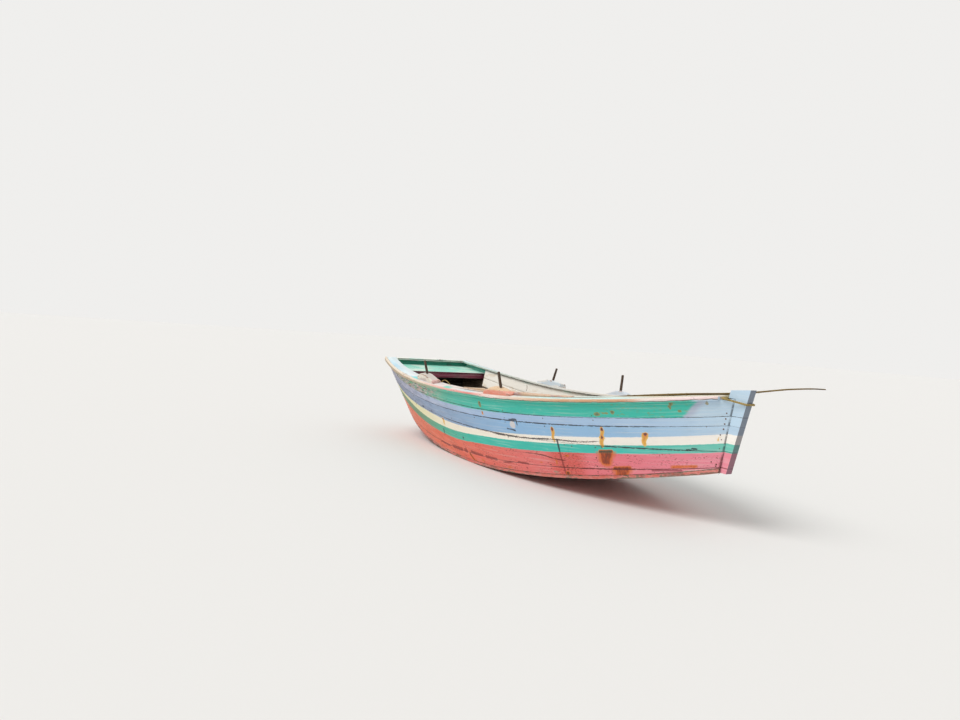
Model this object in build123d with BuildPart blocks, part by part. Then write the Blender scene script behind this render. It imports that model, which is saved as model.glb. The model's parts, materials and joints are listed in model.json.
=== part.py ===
from build123d import *
import math
import os

# A beach rowing boat of planked wood: hard chines, a flat bottom bent to one arc, a raked transom, a
# rabbeted stem with a tall head, sawn frames, an inner lining, a wide gunwale cap and four thole pins.
# Millimetres. X runs from the transom to the stem, Y to port, Z up from the floor that the bottom rests on.

# Sheer line: the outer top edge of the side planking
SHEER_END_X = 4514
HALF_BEAM = 728
HALF_BEAM_AT = 0.38
TRANSOM_HALF_TOP = 523
STEM_HALF = 27
SHEER_POWER_AFT = 2.3
SHEER_POWER_FORE = 2.75
SHEER_LOW = 624
SHEER_LOW_AT = 0.42
SHEER_RISE_AFT = 164
SHEER_RISE_FORE = 240
SHEER_RISE_POWER = 2

# Chine line: the outer lower edge of the hull, arcs in plan and one arc in profile
CHINE_START_X = 251
CHINE_END_BACK = 80
CHINE_END_X = SHEER_END_X - CHINE_END_BACK
SIDE_FLARE = 183
CHINE_HALF = HALF_BEAM - SIDE_FLARE
CHINE_WIDEST_X = 2150
TRANSOM_HALF_FOOT = 280
ROCKER_RADIUS = 8600
ROCKER_LOW_BACK = 2494
ROCKER_LOW_X = CHINE_END_X - ROCKER_LOW_BACK

# Timber sizes
PLANK = 22
BOTTOM = 28
SEAM = 0.8
FIT = 0.4
TRANSOM = 30
FRAME_SIDED = 45
FRAME_MOULDED = 42
FLOOR_HEIGHT = 55
CHINE_LOG = 40
CEILING = 16
RISER = 20
RISER_HEIGHT = 50
CAP = 24
CAP_IN = 108
CAP_END_BACK = 76
CAP_END_X = SHEER_END_X - CAP_END_BACK
CAP_CANT = 11
CAP_CANT_POWER = 4
RUB = 22
RUB_HEIGHT_AFT = 42
RUB_HEIGHT_FORE = 28

# Seam above each strake, as a share of the side's depth: at the transom, its even change towards the stem,
# and the upward sweep that it takes close to the stem
SEAMS = (
    (0.0, 0.0, 0.0),
    (0.15, 0.05, 0.03),
    (0.275, 0.01, 0.075),
    (0.37, 0.18, 0.16),
    (0.87, -0.04, 0.10),
)
SEAM_SWEEP_POWER = 6
STARBOARD_BUTTS = (None, None, None, 0.75, 0.75)
PORT_BUTTS = (None, None, None, 0.42, 0.42)

# Frames, from the transom forward, placed along the sheer
FRAME_FIRST_X = 480
FRAME_SPACING = 450
FRAME_COUNT = 8

# Inner lining
CEILING_BOARDS = 3
CEILING_WIDTH = 100
CEILING_GAP = 3
CEILING_TOP = 32
CEILING_START = 0.092
CEILING_END = 0.88

# Thwarts and their risers
RISER_DROP = 235
RISER_START = 0.2
RISER_END = 0.82
THWART_X = (1800, 3000)
THWART_WIDTH = 220
THWART = 32

# Stern deck
DECK_FRONT_X = 410
DECK_DROP = 46
DECK = 22
DECK_BOARDS = 2
DECK_BEAM = 45
DECK_BEAM_HEIGHT = 44

# Bottom boards and keelson
BOTTOM_BOARDS = 6
KEELSON_WIDTH = 120
KEELSON = 25
KEELSON_BUTTS = (2, 5)

# Transom cap
TRANSOM_CAP_WIDTH = 96
TRANSOM_CAP_OVER = 6

# Tholes: one shaped pad on the cap and one driven pin each, none like another
THOLES = {
    # place: (side, pad's middle, its length, heights aft, at the crown and forward, the crown's share of the
    # length, the pin's place from the middle, the pin's lean forward in degrees, the pin's free length)
    "aft_thole": (
        ("port", 1550, 400, 24, 56, 42, 0.50, 8, 6, 130),
        ("starboard", 1406, 370, 40, 64, 20, 0.38, -3, -16, 125),
    ),
    "forward_thole": (
        ("port", 2690, 370, 10, 46, 10, 0.50, -12, -7, 150),
        ("starboard", 2665, 352, 20, 58, 14, 0.40, 30, -4, 125),
    ),
}
PAD_WIDTH = 84
PAD_EASE = 12
PAD_LIFT = 0.4
PIN_RADIUS = 13
SHANK_RADIUS = 10
PIN_STEP = 2

# Stem
STEM_FRONT_FOOT_BACK = 17
STEM_FRONT_FOOT_X = SHEER_END_X - STEM_FRONT_FOOT_BACK
STEM_FRONT_SLOPE = 0.2457
STEM_FRONT_FOOT_Z = 404
STEM_BEARD = 0.976
HEAD_TOP_Z = 933
HEAD_FALL = 16
HEAD_AFT_FOOT_BACK = 55
HEAD_AFT_FOOT_X = SHEER_END_X - HEAD_AFT_FOOT_BACK
HEAD_AFT_LEAN = 14
HEAD_ROOT = 22

# Breasthook between the bow planks
HOOK_LENGTH = 260
HOOK_FRONT_BACK = 134
HOOK_FRONT_X = SHEER_END_X - HOOK_FRONT_BACK
HOOK_BACK_X = HOOK_FRONT_X - HOOK_LENGTH
HOOK_DROP = 3
HOOK = 36

# Mooring rope: one turn round the stem, over the planks' ends behind its head and low on its front
ROPE_RADIUS = 7.5
ROPE_BEND = 7
ROPE_FRONT_Z = 838

# Pole: its butt on the aft thwart, its fore part over the port cap's end and beside the stem head
POLE_BUTT = (1760, 96)
POLE_BUTT_RADIUS = 13
POLE_REST_RADIUS = 8
POLE_CROOKS = ((0.30, 24, 12), (0.62, 31, 11), (0.85, 17, 9))
POLE_REST_BACK = 10
POLE_OVER_CAP = 8.8
POLE_BEYOND = ((170, 0, 26, 7), (422, 6, 73, 6), (592, 4, 94, 5), (664, 0, 98, 4))
POLE_SIDES = 8

STATIONS = 10
TINY = 1e-4


def swept_fall(u, widest_at, aft, fore, aft_power, fore_power):
    """How far a long curve has fallen away from its middle at share u of the length."""
    if u < widest_at:
        return aft * ((widest_at - u) / widest_at) ** aft_power
    return fore * ((u - widest_at) / (1 - widest_at)) ** fore_power


def arc_fall(distance, length, drop):
    """Drop of the arc that falls by drop over length, at a distance from its crown."""
    radius = (length**2 + drop**2) / (2 * drop)
    return radius - math.sqrt(radius**2 - distance**2)


def rocker_height(x, above=0.0):
    """Height of the bottom's underside at x, or of a line bent to the same centre above it."""
    radius = ROCKER_RADIUS - above
    return ROCKER_RADIUS - math.sqrt(radius**2 - (x - ROCKER_LOW_X) ** 2)


def sheer_point(u):
    """Port sheer at share u from transom to stem."""
    y = HALF_BEAM - swept_fall(
        u,
        HALF_BEAM_AT,
        HALF_BEAM - TRANSOM_HALF_TOP,
        HALF_BEAM - STEM_HALF,
        SHEER_POWER_AFT,
        SHEER_POWER_FORE,
    )
    z = SHEER_LOW + swept_fall(
        u, SHEER_LOW_AT, SHEER_RISE_AFT, SHEER_RISE_FORE, SHEER_RISE_POWER, SHEER_RISE_POWER
    )
    return Vector(SHEER_END_X * u, y, z)


def chine_half(x):
    """Half-breadth of the bottom at x."""
    if x < CHINE_WIDEST_X:
        length, drop = CHINE_WIDEST_X - CHINE_START_X, CHINE_HALF - TRANSOM_HALF_FOOT
    else:
        length, drop = CHINE_END_X - CHINE_WIDEST_X, CHINE_HALF - STEM_HALF
    return CHINE_HALF - arc_fall(abs(x - CHINE_WIDEST_X), length, drop)


def chine_point(u):
    """Port chine at share u from transom to stem."""
    x = CHINE_START_X + (CHINE_END_X - CHINE_START_X) * u
    return Vector(x, chine_half(x), rocker_height(x))


def side_axes(u):
    """Sheer point, unit ruling down the side, outward normal and forward direction at share u."""
    low, high = max(u - TINY, 0), min(u + TINY, 1)
    sheer, chine = sheer_point(u), chine_point(u)
    tangent = sheer_point(high) - sheer_point(low) + chine_point(high) - chine_point(low)
    ruling = (chine - sheer).normalized()
    outward = tangent.cross(ruling).normalized()
    return sheer, ruling, outward, ruling.cross(outward)


def side_depth(u):
    """Length of the ruling from sheer to chine."""
    return (chine_point(u) - sheer_point(u)).length


def side_plane(u):
    """Section plane at share u: X down the side from the sheer, Y outward."""
    sheer, ruling, outward, forward = side_axes(u)
    return Plane(origin=sheer, x_dir=ruling, z_dir=forward)


def cap_cant(u):
    """Slope of the cap, rising inboard, which fades to level at the transom and at the stem."""
    return math.radians(CAP_CANT) * (1 - (2 * u - 1) ** CAP_CANT_POWER)


def rail_axes(u):
    """Unit directions of the section plane at share u: outboard along the cap, and square up from it."""
    sheer, ruling, outward, forward = side_axes(u)
    level = (outward * -ruling.Z + ruling * outward.Z).normalized()
    upright = forward.cross(level)
    cant = cap_cant(u)
    return level * math.cos(cant) - upright * math.sin(cant), upright * math.cos(cant) + level * math.sin(cant)


def rail_plane(u):
    """The section plane turned to the cap: X outboard along it from the sheer, Y square up."""
    sheer, ruling, outward, forward = side_axes(u)
    return Plane(origin=sheer, x_dir=rail_axes(u)[0], z_dir=forward)


def square(down):
    """An edge square to the side, at a distance down it."""
    return lambda u, out: down


def level(down):
    """A level edge, through the point of the side's face at a distance down it."""

    def place(u, out):
        _, ruling, outward, _ = side_axes(u)
        return down - outward.Z / ruling.Z * out

    return place


def under_cap(gap):
    """An edge along the cap's underside, at a gap down the side from it."""

    def place(u, out):
        _, ruling, outward, _ = side_axes(u)
        up = rail_axes(u)[1]
        return gap - up.dot(outward) / up.dot(ruling) * out

    return place


def off_bottom(gap):
    """An edge parallel to the bottom boards' upper face, at a gap above it."""

    def place(u, out):
        sheer, ruling, outward, _ = side_axes(u)
        start = sheer + outward * out
        down = side_depth(u)
        for _ in range(6):
            down = (rocker_height((start + ruling * down).X, BOTTOM) + gap - start.Z) / ruling.Z
        return down

    return place


def side_point(u, down, outward_by):
    """A point of the section plane at share u."""
    sheer, ruling, outward, _ = side_axes(u)
    return sheer + ruling * down + outward * outward_by


def side_at_height(u, z, inside):
    """The point of ruling u, inside the planking's face, that is at height z."""
    sheer, ruling, outward, _ = side_axes(u)
    down = (z - sheer.Z + outward.Z * inside) / ruling.Z
    return sheer + ruling * down - outward * inside


def share_at(x, z, inside=0.0):
    """Share of the length whose ruling, inside the planking's face, passes x at height z."""
    low, high = 0.0, 1.0
    for _ in range(40):
        middle = (low + high) / 2
        if side_at_height(middle, z, inside).X < x:
            low = middle
        else:
            high = middle
    return (low + high) / 2


def half_breadth(x, z, inside):
    """Half the hull's breadth at x and height z, inside the planking's face."""
    return side_at_height(share_at(x, z, inside), z, inside).Y


def stations(start=0.0, end=1.0):
    """Shares from start to end, at the same places in every piece that follows the side."""
    between = [i / STATIONS for i in range(STATIONS + 1)]
    near = 0.25 / STATIONS
    return [start] + [u for u in between if start + near < u < end - near] + [end]


def strip_section(u, top, foot, inner, outer):
    """One section of a piece that runs along the side, as a face in that section plane."""
    corners = [(edge(u, out), out) for edge, out in ((top, outer), (foot, outer), (foot, inner), (top, inner))]
    with BuildSketch(side_plane(u)) as section:
        with BuildLine():
            Polyline(*corners, close=True)
        make_face()
    return section.sketch


def both_sides(port, name):
    """Write a port piece and its starboard twin."""
    with BuildPart() as starboard:
        mirror(port, about=Plane.XZ)
    keep(port, f"port_{name}")
    keep(starboard.part, f"starboard_{name}")


def keep(part, label):
    """Label a finished piece and keep it for writing."""
    part.label = label
    PIECES[label] = part


PIECES = {}


# Side planking
def seam_down(index, u):
    """Distance down the side of the seam above a strake."""
    aft, change, sweep = SEAMS[index]
    return (aft + change * u + sweep * u**SEAM_SWEEP_POWER) * side_depth(u)


def strake(index, butt):
    """Port strake by its number from the sheer down, in one length or cut at a butt joint."""
    lowest = index == len(SEAMS) - 1
    with BuildPart() as plank:
        sections = []
        for u in stations():
            top = square(seam_down(index, u) + SEAM / 2) if index else under_cap(0)
            foot = off_bottom(FIT) if lowest else square(seam_down(index + 1, u) - SEAM / 2)
            sections.append(strip_section(u, top, foot, -PLANK, 0))
        loft(sections)
        if butt is not None:
            with BuildSketch(side_plane(butt)):
                Rectangle(2 * HALF_BEAM, 2 * HALF_BEAM)
            extrude(amount=SEAM / 2, both=True, mode=Mode.SUBTRACT)
    return plank.part


for number in range(len(SEAMS)):
    keep(strake(number, PORT_BUTTS[number]), f"port_strake_{number + 1}")
    with BuildPart() as starboard_strake:
        mirror(strake(number, STARBOARD_BUTTS[number]), about=Plane.XZ)
    keep(starboard_strake.part, f"starboard_strake_{number + 1}")


# Gunwale cap over planking, frames and lining, and the rubbing strake on its edge
def rail_section(u, inner, outer, foot, top):
    """One section of a rail: a rectangle in the cap's plane, outboard from inner to outer."""
    with BuildSketch(rail_plane(u)) as section:
        with Locations(((inner + outer) / 2, (foot + top) / 2)):
            Rectangle(outer - inner, top - foot)
    return section.sketch


def rub_height(u):
    """Depth of the rubbing strake at share u."""
    return RUB_HEIGHT_AFT + (RUB_HEIGHT_FORE - RUB_HEIGHT_AFT) * u


CAP_TOP = FIT + CAP
with BuildPart() as rubbing_strake:
    loft([rail_section(u, FIT, FIT + RUB, CAP_TOP - rub_height(u), CAP_TOP) for u in stations()])
    with BuildSketch(Plane.XY) as rub_end:
        with Locations((CAP_END_X + SHEER_END_X / 2, 0)):
            Rectangle(SHEER_END_X, 2 * HALF_BEAM)
    extrude(amount=2 * HEAD_TOP_Z, mode=Mode.SUBTRACT)
both_sides(rubbing_strake.part, "rubbing_strake")

with BuildPart() as gunwale_cap:
    loft([rail_section(u, -CAP_IN, 0, FIT, CAP_TOP) for u in stations()])
    with BuildSketch(Plane.XY) as cap_ends:
        with Locations((SHEER_END_X / 2, SEAM / 2 - HALF_BEAM)):
            Rectangle(2 * SHEER_END_X, 2 * HALF_BEAM)
        with Locations((CAP_END_X + SHEER_END_X / 2, 0)):
            Rectangle(SHEER_END_X, 2 * HALF_BEAM)
    extrude(amount=2 * HEAD_TOP_Z, mode=Mode.SUBTRACT)
both_sides(gunwale_cap.part, "gunwale_cap")


# Chine log in the lower corner
LOG_SHARES = (0.022, 0.955)
with BuildPart() as chine_log:
    loft(
        [
            strip_section(u, off_bottom(CHINE_LOG), off_bottom(FIT), -PLANK - CHINE_LOG, -PLANK - FIT)
            for u in stations(*LOG_SHARES)
        ]
    )
both_sides(chine_log.part, "chine_log")


# Frames: a side timber on each side, bevelled to the planking, and a floor timber lapped beside them
FRAME_SHARES = [(FRAME_FIRST_X + FRAME_SPACING * i) / SHEER_END_X for i in range(FRAME_COUNT)]
FRAME_HALF_SHARE = FRAME_SIDED / 2 / SHEER_END_X
LOG_TOP = CHINE_LOG + FIT
with BuildPart() as side_timbers:
    for share in FRAME_SHARES:
        loft(
            [
                strip_section(
                    u, under_cap(FIT), off_bottom(LOG_TOP), -PLANK - FIT - FRAME_MOULDED, -PLANK - FIT
                )
                for u in (share - FRAME_HALF_SHARE, share + FRAME_HALF_SHARE)
            ],
            ruled=True,
        )
both_sides(side_timbers.part, "side_timbers")


def floor_timber_x(share):
    """Middle of the floor timber that stands against the fore side of a frame's side timbers."""
    fore = share + FRAME_HALF_SHARE
    x = max(
        side_at_height(fore, rocker_height(side_point(fore, side_depth(fore), 0).X) + up, inside).X
        for up in (BOTTOM + CHINE_LOG, BOTTOM + FLOOR_HEIGHT)
        for inside in (PLANK, PLANK + FRAME_MOULDED)
    )
    lean = FLOOR_HEIGHT * max((x - ROCKER_LOW_X) / ROCKER_RADIUS, 0)
    return x + lean + FIT + FRAME_SIDED / 2


with BuildPart() as floor_timbers:
    for share in FRAME_SHARES:
        x = floor_timber_x(share)
        slope = math.asin((x - ROCKER_LOW_X) / (ROCKER_RADIUS - BOTTOM))
        along = Vector(math.cos(slope), 0, math.sin(slope))
        foot = Vector(x, 0, rocker_height(x, BOTTOM)) + Vector(-along.Z, 0, along.X) * 2 * FIT
        step = CHINE_LOG + 2 * FIT
        narrow, wide = [
            min(
                half_breadth(x + end, foot.Z + up + end * along.Z, inside) - FIT
                for end in (-FRAME_SIDED / 2, FRAME_SIDED / 2)
                for up in ups
            )
            for ups, inside in (((0, step), PLANK + CHINE_LOG), ((step, FLOOR_HEIGHT), PLANK))
        ]
        with BuildSketch(Plane(origin=foot, x_dir=(0, 1, 0), z_dir=along)) as floor_face:
            with Locations((0, FLOOR_HEIGHT / 2)):
                Rectangle(2 * narrow, FLOOR_HEIGHT)
            with Locations((0, (step + FLOOR_HEIGHT) / 2)):
                Rectangle(2 * wide, FLOOR_HEIGHT - step)
        extrude(amount=FRAME_SIDED / 2, both=True)
keep(floor_timbers.part, "floor_timbers")


# Inner lining boards on the frames
LINING_OUTER = -PLANK - FRAME_MOULDED - 3 * FIT
with BuildPart() as lining:
    for board in range(CEILING_BOARDS):
        top = CEILING_TOP + board * (CEILING_WIDTH + CEILING_GAP)
        top_edge = square(top) if board else under_cap(FIT)
        loft(
            [
                strip_section(
                    u, top_edge, square(top + CEILING_WIDTH), LINING_OUTER - CEILING, LINING_OUTER
                )
                for u in stations(CEILING_START, CEILING_END)
            ]
        )
both_sides(lining.part, "lining_boards")


# Thwart risers and thwarts
RISER_OUTER = LINING_OUTER - CEILING - 2 * FIT
with BuildPart() as riser:
    loft(
        [
            strip_section(
                u, level(RISER_DROP), square(RISER_DROP + RISER_HEIGHT), RISER_OUTER - RISER, RISER_OUTER
            )
            for u in stations(RISER_START, RISER_END)
        ]
    )
both_sides(riser.part, "thwart_riser")


def board_across(back_x, front_x, underside, thickness, inside, tilt=0.0):
    """A board from side to side, whose ends follow the hull inside the planking's face."""
    length = front_x - back_x
    rise = tilt * length
    with BuildPart() as board:
        faces = []
        for lift in (0, thickness):
            z = underside + lift
            back, front = half_breadth(back_x, z, inside), half_breadth(front_x, z + rise, inside)
            plane = Plane(origin=(back_x, 0, z), x_dir=(length, 0, rise), z_dir=(-rise, 0, length))
            reach = math.hypot(length, rise)
            with BuildSketch(plane) as face:
                with BuildLine():
                    Polyline((0, -back), (reach, -front), (reach, front), (0, back), close=True)
                make_face()
            faces.append(face.sketch)
        loft(faces, ruled=True)
    return board.part


def riser_top(x):
    """Height of the risers' upper edge at x."""
    drop_z = SHEER_LOW - RISER_DROP
    for _ in range(6):
        u = share_at(x, drop_z, -RISER_OUTER)
        drop_z = side_point(u, RISER_DROP, 0).Z
    return drop_z


for place, thwart_x in zip(("aft", "forward"), THWART_X):
    back_x, front_x = thwart_x - THWART_WIDTH / 2, thwart_x + THWART_WIDTH / 2
    back_z, front_z = riser_top(back_x), riser_top(front_x)
    tilt = (front_z - back_z) / THWART_WIDTH
    thwart = board_across(
        back_x, front_x, back_z + FIT, THWART, CEILING - LINING_OUTER + 2 * FIT, tilt
    )
    keep(thwart, f"{place}_thwart")


# Stern deck: boards across, on a beam at their front edge
TRANSOM_SHARE = 1.08 * TRANSOM / SHEER_END_X
DECK_UNDERSIDE = sheer_point(0).Z - DECK_DROP - DECK
DECK_BACK_X = side_at_height(TRANSOM_SHARE, DECK_UNDERSIDE, PLANK + 2 * FIT).X + 2 * FIT
DECK_TILT = (sheer_point(DECK_FRONT_X / SHEER_END_X).Z - sheer_point(0).Z) / DECK_FRONT_X
board_width = (DECK_FRONT_X - DECK_BACK_X) / DECK_BOARDS
with BuildPart() as stern_deck:
    for board in range(DECK_BOARDS):
        back_x = DECK_BACK_X + board * board_width
        rise = DECK_TILT * (back_x - DECK_BACK_X)
        add(
            board_across(
                back_x, back_x + board_width - 2, DECK_UNDERSIDE + rise, DECK, PLANK + 2 * FIT, DECK_TILT
            )
        )
keep(stern_deck.part, "stern_deck")
beam_back_x = DECK_FRONT_X - 2 - DECK_BEAM
beam_top = DECK_UNDERSIDE + DECK_TILT * (beam_back_x - DECK_BACK_X) - FIT
deck_beam = board_across(
    beam_back_x,
    beam_back_x + DECK_BEAM,
    beam_top - DECK_BEAM_HEIGHT,
    DECK_BEAM_HEIGHT,
    PLANK + 2 * FIT,
    DECK_TILT,
)
keep(deck_beam, "stern_deck_beam")


# Transom: boards on the raked plane of the planking's ends, inside the planking
TRANSOM_SEAMS = (0.0, 0.36, 0.70, 1.0)
with BuildPart() as transom:
    for upper, lower in zip(TRANSOM_SEAMS, TRANSOM_SEAMS[1:]):
        faces = []
        for u in (0, TRANSOM_SHARE):
            inside = -PLANK - 2 * FIT
            top, foot = level(0)(u, inside), off_bottom(FIT)(u, inside)
            corners = []
            for part_way in (upper, lower):
                down = top + part_way * (foot - top) + (SEAM / 2 if part_way == upper else -SEAM / 2)
                corners.append(side_point(u, down, inside))
            plane = Plane(
                origin=(corners[1].X, 0, corners[1].Z),
                x_dir=(0, 1, 0),
                z_dir=Vector(0, 1, 0).cross(Vector(corners[0].X - corners[1].X, 0, corners[0].Z - corners[1].Z)),
            )
            height = math.hypot(corners[0].X - corners[1].X, corners[0].Z - corners[1].Z)
            with BuildSketch(plane) as face:
                with BuildLine():
                    Polyline(
                        (-corners[1].Y, 0),
                        (corners[1].Y, 0),
                        (corners[0].Y, height),
                        (-corners[0].Y, height),
                        close=True,
                    )
                make_face()
            faces.append(face.sketch)
        loft(faces, ruled=True)
keep(transom.part, "transom")


# Transom cap between the gunwale caps
with BuildPart() as transom_cap:
    cap_z = sheer_point(0).Z + FIT
    ends = []
    for x in (-TRANSOM_CAP_OVER, TRANSOM_CAP_WIDTH - TRANSOM_CAP_OVER):
        share = max(x, 0) / SHEER_END_X
        ends.append((x, sheer_point(share).Y - CAP_IN - 4))
    with BuildSketch(Plane.XY.offset(cap_z)) as transom_cap_face:
        with BuildLine():
            Polyline(
                (ends[0][0], -ends[0][1]),
                (ends[1][0], -ends[1][1]),
                (ends[1][0], ends[1][1]),
                (ends[0][0], ends[0][1]),
                close=True,
            )
        make_face()
    extrude(amount=CAP)
keep(transom_cap.part, "transom_cap")


# Bottom boards bent to the rocker, side by side between the chines
with BuildPart() as bottom_boards:
    with BuildSketch(Plane.XZ) as bottom_profile:
        aft_x, fore_x = CHINE_START_X - 60, CHINE_END_X + 60
        with BuildLine():
            for above in (0, BOTTOM):
                ThreePointArc(
                    (aft_x, rocker_height(aft_x, above)),
                    (ROCKER_LOW_X, rocker_height(ROCKER_LOW_X, above)),
                    (fore_x, rocker_height(fore_x, above)),
                )
            Line((aft_x, rocker_height(aft_x, 0)), (aft_x, rocker_height(aft_x, BOTTOM)))
            Line((fore_x, rocker_height(fore_x, 0)), (fore_x, rocker_height(fore_x, BOTTOM)))
        make_face()
    extrude(amount=CHINE_HALF + 50, both=True)
    with BuildSketch(Plane.XY) as bottom_outline:
        end_x = CHINE_END_X
        with BuildLine():
            for side in (1, -1):
                ThreePointArc(
                    (CHINE_START_X, side * TRANSOM_HALF_FOOT),
                    ((CHINE_START_X + CHINE_WIDEST_X) / 2, side * chine_half((CHINE_START_X + CHINE_WIDEST_X) / 2)),
                    (CHINE_WIDEST_X, side * CHINE_HALF),
                )
                ThreePointArc(
                    (CHINE_WIDEST_X, side * CHINE_HALF),
                    ((end_x + CHINE_WIDEST_X) / 2, side * chine_half((end_x + CHINE_WIDEST_X) / 2)),
                    (end_x, side * chine_half(end_x)),
                )
            Line((CHINE_START_X, TRANSOM_HALF_FOOT), (CHINE_START_X, -TRANSOM_HALF_FOOT))
            Line((end_x, chine_half(end_x)), (end_x, -chine_half(end_x)))
        make_face()
    extrude(amount=SHEER_LOW, mode=Mode.INTERSECT)
    board = 2 * CHINE_HALF / BOTTOM_BOARDS
    with BuildSketch(Plane.XY) as bottom_seams:
        with Locations(*[(CHINE_END_X / 2, board * (i - BOTTOM_BOARDS / 2)) for i in range(1, BOTTOM_BOARDS)]):
            Rectangle(2 * CHINE_END_X, SEAM)
    extrude(amount=SHEER_LOW, mode=Mode.SUBTRACT)
keep(bottom_boards.part, "bottom_boards")


# Keelson over the floor timbers, in lengths that butt on them
with BuildPart() as keelson:
    low = BOTTOM + FLOOR_HEIGHT + 4 * FIT
    aft_x, fore_x = floor_timber_x(FRAME_SHARES[0]) - 60, floor_timber_x(FRAME_SHARES[-1]) + 60
    with BuildSketch(Plane.XZ) as keelson_profile:
        with BuildLine():
            for above in (low, low + KEELSON):
                ThreePointArc(
                    (aft_x, rocker_height(aft_x, above)),
                    (ROCKER_LOW_X, rocker_height(ROCKER_LOW_X, above)),
                    (fore_x, rocker_height(fore_x, above)),
                )
            for x in (aft_x, fore_x):
                Line((x, rocker_height(x, low)), (x, rocker_height(x, low + KEELSON)))
        make_face()
    extrude(amount=KEELSON_WIDTH / 2, both=True)
    with BuildSketch(Plane.XY) as keelson_butts:
        with Locations(*[(floor_timber_x(FRAME_SHARES[i]), 0) for i in KEELSON_BUTTS]):
            Rectangle(SEAM, 2 * KEELSON_WIDTH)
    extrude(amount=SHEER_LOW, mode=Mode.SUBTRACT)
keep(keelson.part, "keelson")


# Stem: rabbeted post, with its head above the caps
def stem_front(z):
    """X of the stem's front face at height z."""
    return STEM_FRONT_FOOT_X + STEM_FRONT_SLOPE * (z - STEM_FRONT_FOOT_Z)


def stem_section(z):
    """Level section of the rabbeted stem: nose, rabbet and the bearding behind the planks."""
    rabbet = side_at_height(1, z, 0)
    back = side_at_height(1, z, PLANK + SEAM)
    beard = side_at_height(STEM_BEARD, z, PLANK + SEAM)
    half = [
        (stem_front(z), STEM_HALF),
        (rabbet.X + SEAM, STEM_HALF),
        (back.X + SEAM, back.Y),
        (beard.X, beard.Y),
    ]
    with BuildSketch(Plane.XY.offset(z)) as section:
        with BuildLine():
            Polyline(*half, *[(x, -y) for x, y in reversed(half)], close=True)
        make_face()
    return section.sketch


STEM_FOOT_Z = chine_point(1).Z
SHEER_TOP_Z = sheer_point(1).Z
HEAD_SEAT_Z = SHEER_TOP_Z + SEAM
with BuildPart() as stem:
    loft([stem_section(STEM_FOOT_Z + FIT), stem_section(SHEER_TOP_Z - HEAD_ROOT)], ruled=True)
    with BuildSketch(Plane.XZ) as bottom_seat:
        seat_x = stem_section(STEM_FOOT_Z).bounding_box().min.X - 10
        end_x = CHINE_END_X + SEAM
        with BuildLine():
            Polyline(
                (seat_x, rocker_height(seat_x, BOTTOM) + FIT),
                (seat_x, 0),
                (end_x, 0),
                (end_x, rocker_height(end_x, BOTTOM) + FIT),
                close=True,
            )
        make_face()
    extrude(amount=STEM_FRONT_FOOT_Z, both=True, mode=Mode.SUBTRACT)
    with BuildSketch(Plane.XZ) as stem_head:
        root_z, root_x = SHEER_TOP_Z - HEAD_ROOT, SHEER_END_X + SEAM
        with BuildLine():
            Polyline(
                (root_x, root_z),
                (stem_front(root_z), root_z),
                (stem_front(HEAD_TOP_Z), HEAD_TOP_Z),
                (HEAD_AFT_FOOT_X + HEAD_AFT_LEAN, HEAD_TOP_Z - HEAD_FALL),
                (HEAD_AFT_FOOT_X, HEAD_SEAT_Z),
                (root_x, HEAD_SEAT_Z),
                close=True,
            )
        make_face()
    extrude(amount=STEM_HALF, both=True)
keep(stem.part, "stem")


# Breasthook under the caps
def hook_top(x):
    """Height of the breasthook's upper face at x."""
    return sheer_point(x / SHEER_END_X).Z - HOOK_DROP


hook_tilt = (hook_top(HOOK_FRONT_X) - hook_top(HOOK_BACK_X)) / (HOOK_FRONT_X - HOOK_BACK_X)
keep(
    board_across(
        HOOK_BACK_X, HOOK_FRONT_X, hook_top(HOOK_BACK_X) - HOOK, HOOK, PLANK + 2 * FIT, hook_tilt
    ),
    "breasthook",
)


# Thole pads and pins on the caps
def pad_seat(x, length):
    """Plane of a pad's foot on the port cap at x, with X forward along the cap."""
    u, reach = x / SHEER_END_X, length / 2 / SHEER_END_X
    aft, middle, fore = [sheer_point(share) for share in (u - reach, u, u + reach)]
    across = rail_axes(u)[0]
    chord = (fore - aft).normalized()
    up = chord.cross(across).normalized()
    hollow = max((end - middle).dot(up) for end in (aft, fore))
    foot = middle - across * (CAP_IN / 2) + up * (CAP_TOP + hollow + PAD_LIFT)
    return Plane(origin=foot, x_dir=chord, z_dir=up)


def thole_pad(seat, pin_axis, length, aft, crown, fore, crown_share):
    """A pad with its crown and its pin hole, on its seat."""
    crown_x = (crown_share - 0.5) * length
    flat = length / 8
    with BuildPart() as pad:
        with BuildSketch(Plane(origin=seat.origin, x_dir=seat.x_dir, z_dir=-seat.y_dir)) as pad_profile:
            with BuildLine():
                Polyline(
                    (-length / 2, 0),
                    (length / 2, 0),
                    (length / 2, fore),
                    (crown_x + flat, crown),
                    (crown_x - flat, crown),
                    (-length / 2, aft),
                    close=True,
                )
            make_face()
            fillet(pad_profile.vertices().sort_by(Axis.Y)[-2:], PAD_EASE)
        extrude(amount=PAD_WIDTH / 2, both=True)
        with BuildSketch(pin_axis) as pin_hole:
            Circle(SHANK_RADIUS + FIT)
        extrude(amount=2 * crown, both=True, mode=Mode.SUBTRACT)
    return pad.part


def thole_pin(pin_axis, lean, crown, free_length):
    """A pin whose shank fills its hole and whose thicker upper part stands free above the pad."""
    shank = (crown + PIN_RADIUS * math.sin(abs(lean))) / math.cos(lean) + PIN_STEP
    start = SHANK_RADIUS * math.tan(abs(lean)) + FIT
    with BuildPart() as pin:
        with BuildSketch(pin_axis.offset(start)) as shank_face:
            Circle(SHANK_RADIUS)
        extrude(amount=shank - start)
        with BuildSketch(pin_axis.offset(shank)) as pin_face:
            Circle(PIN_RADIUS)
        extrude(amount=free_length)
    return pin.part


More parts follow.
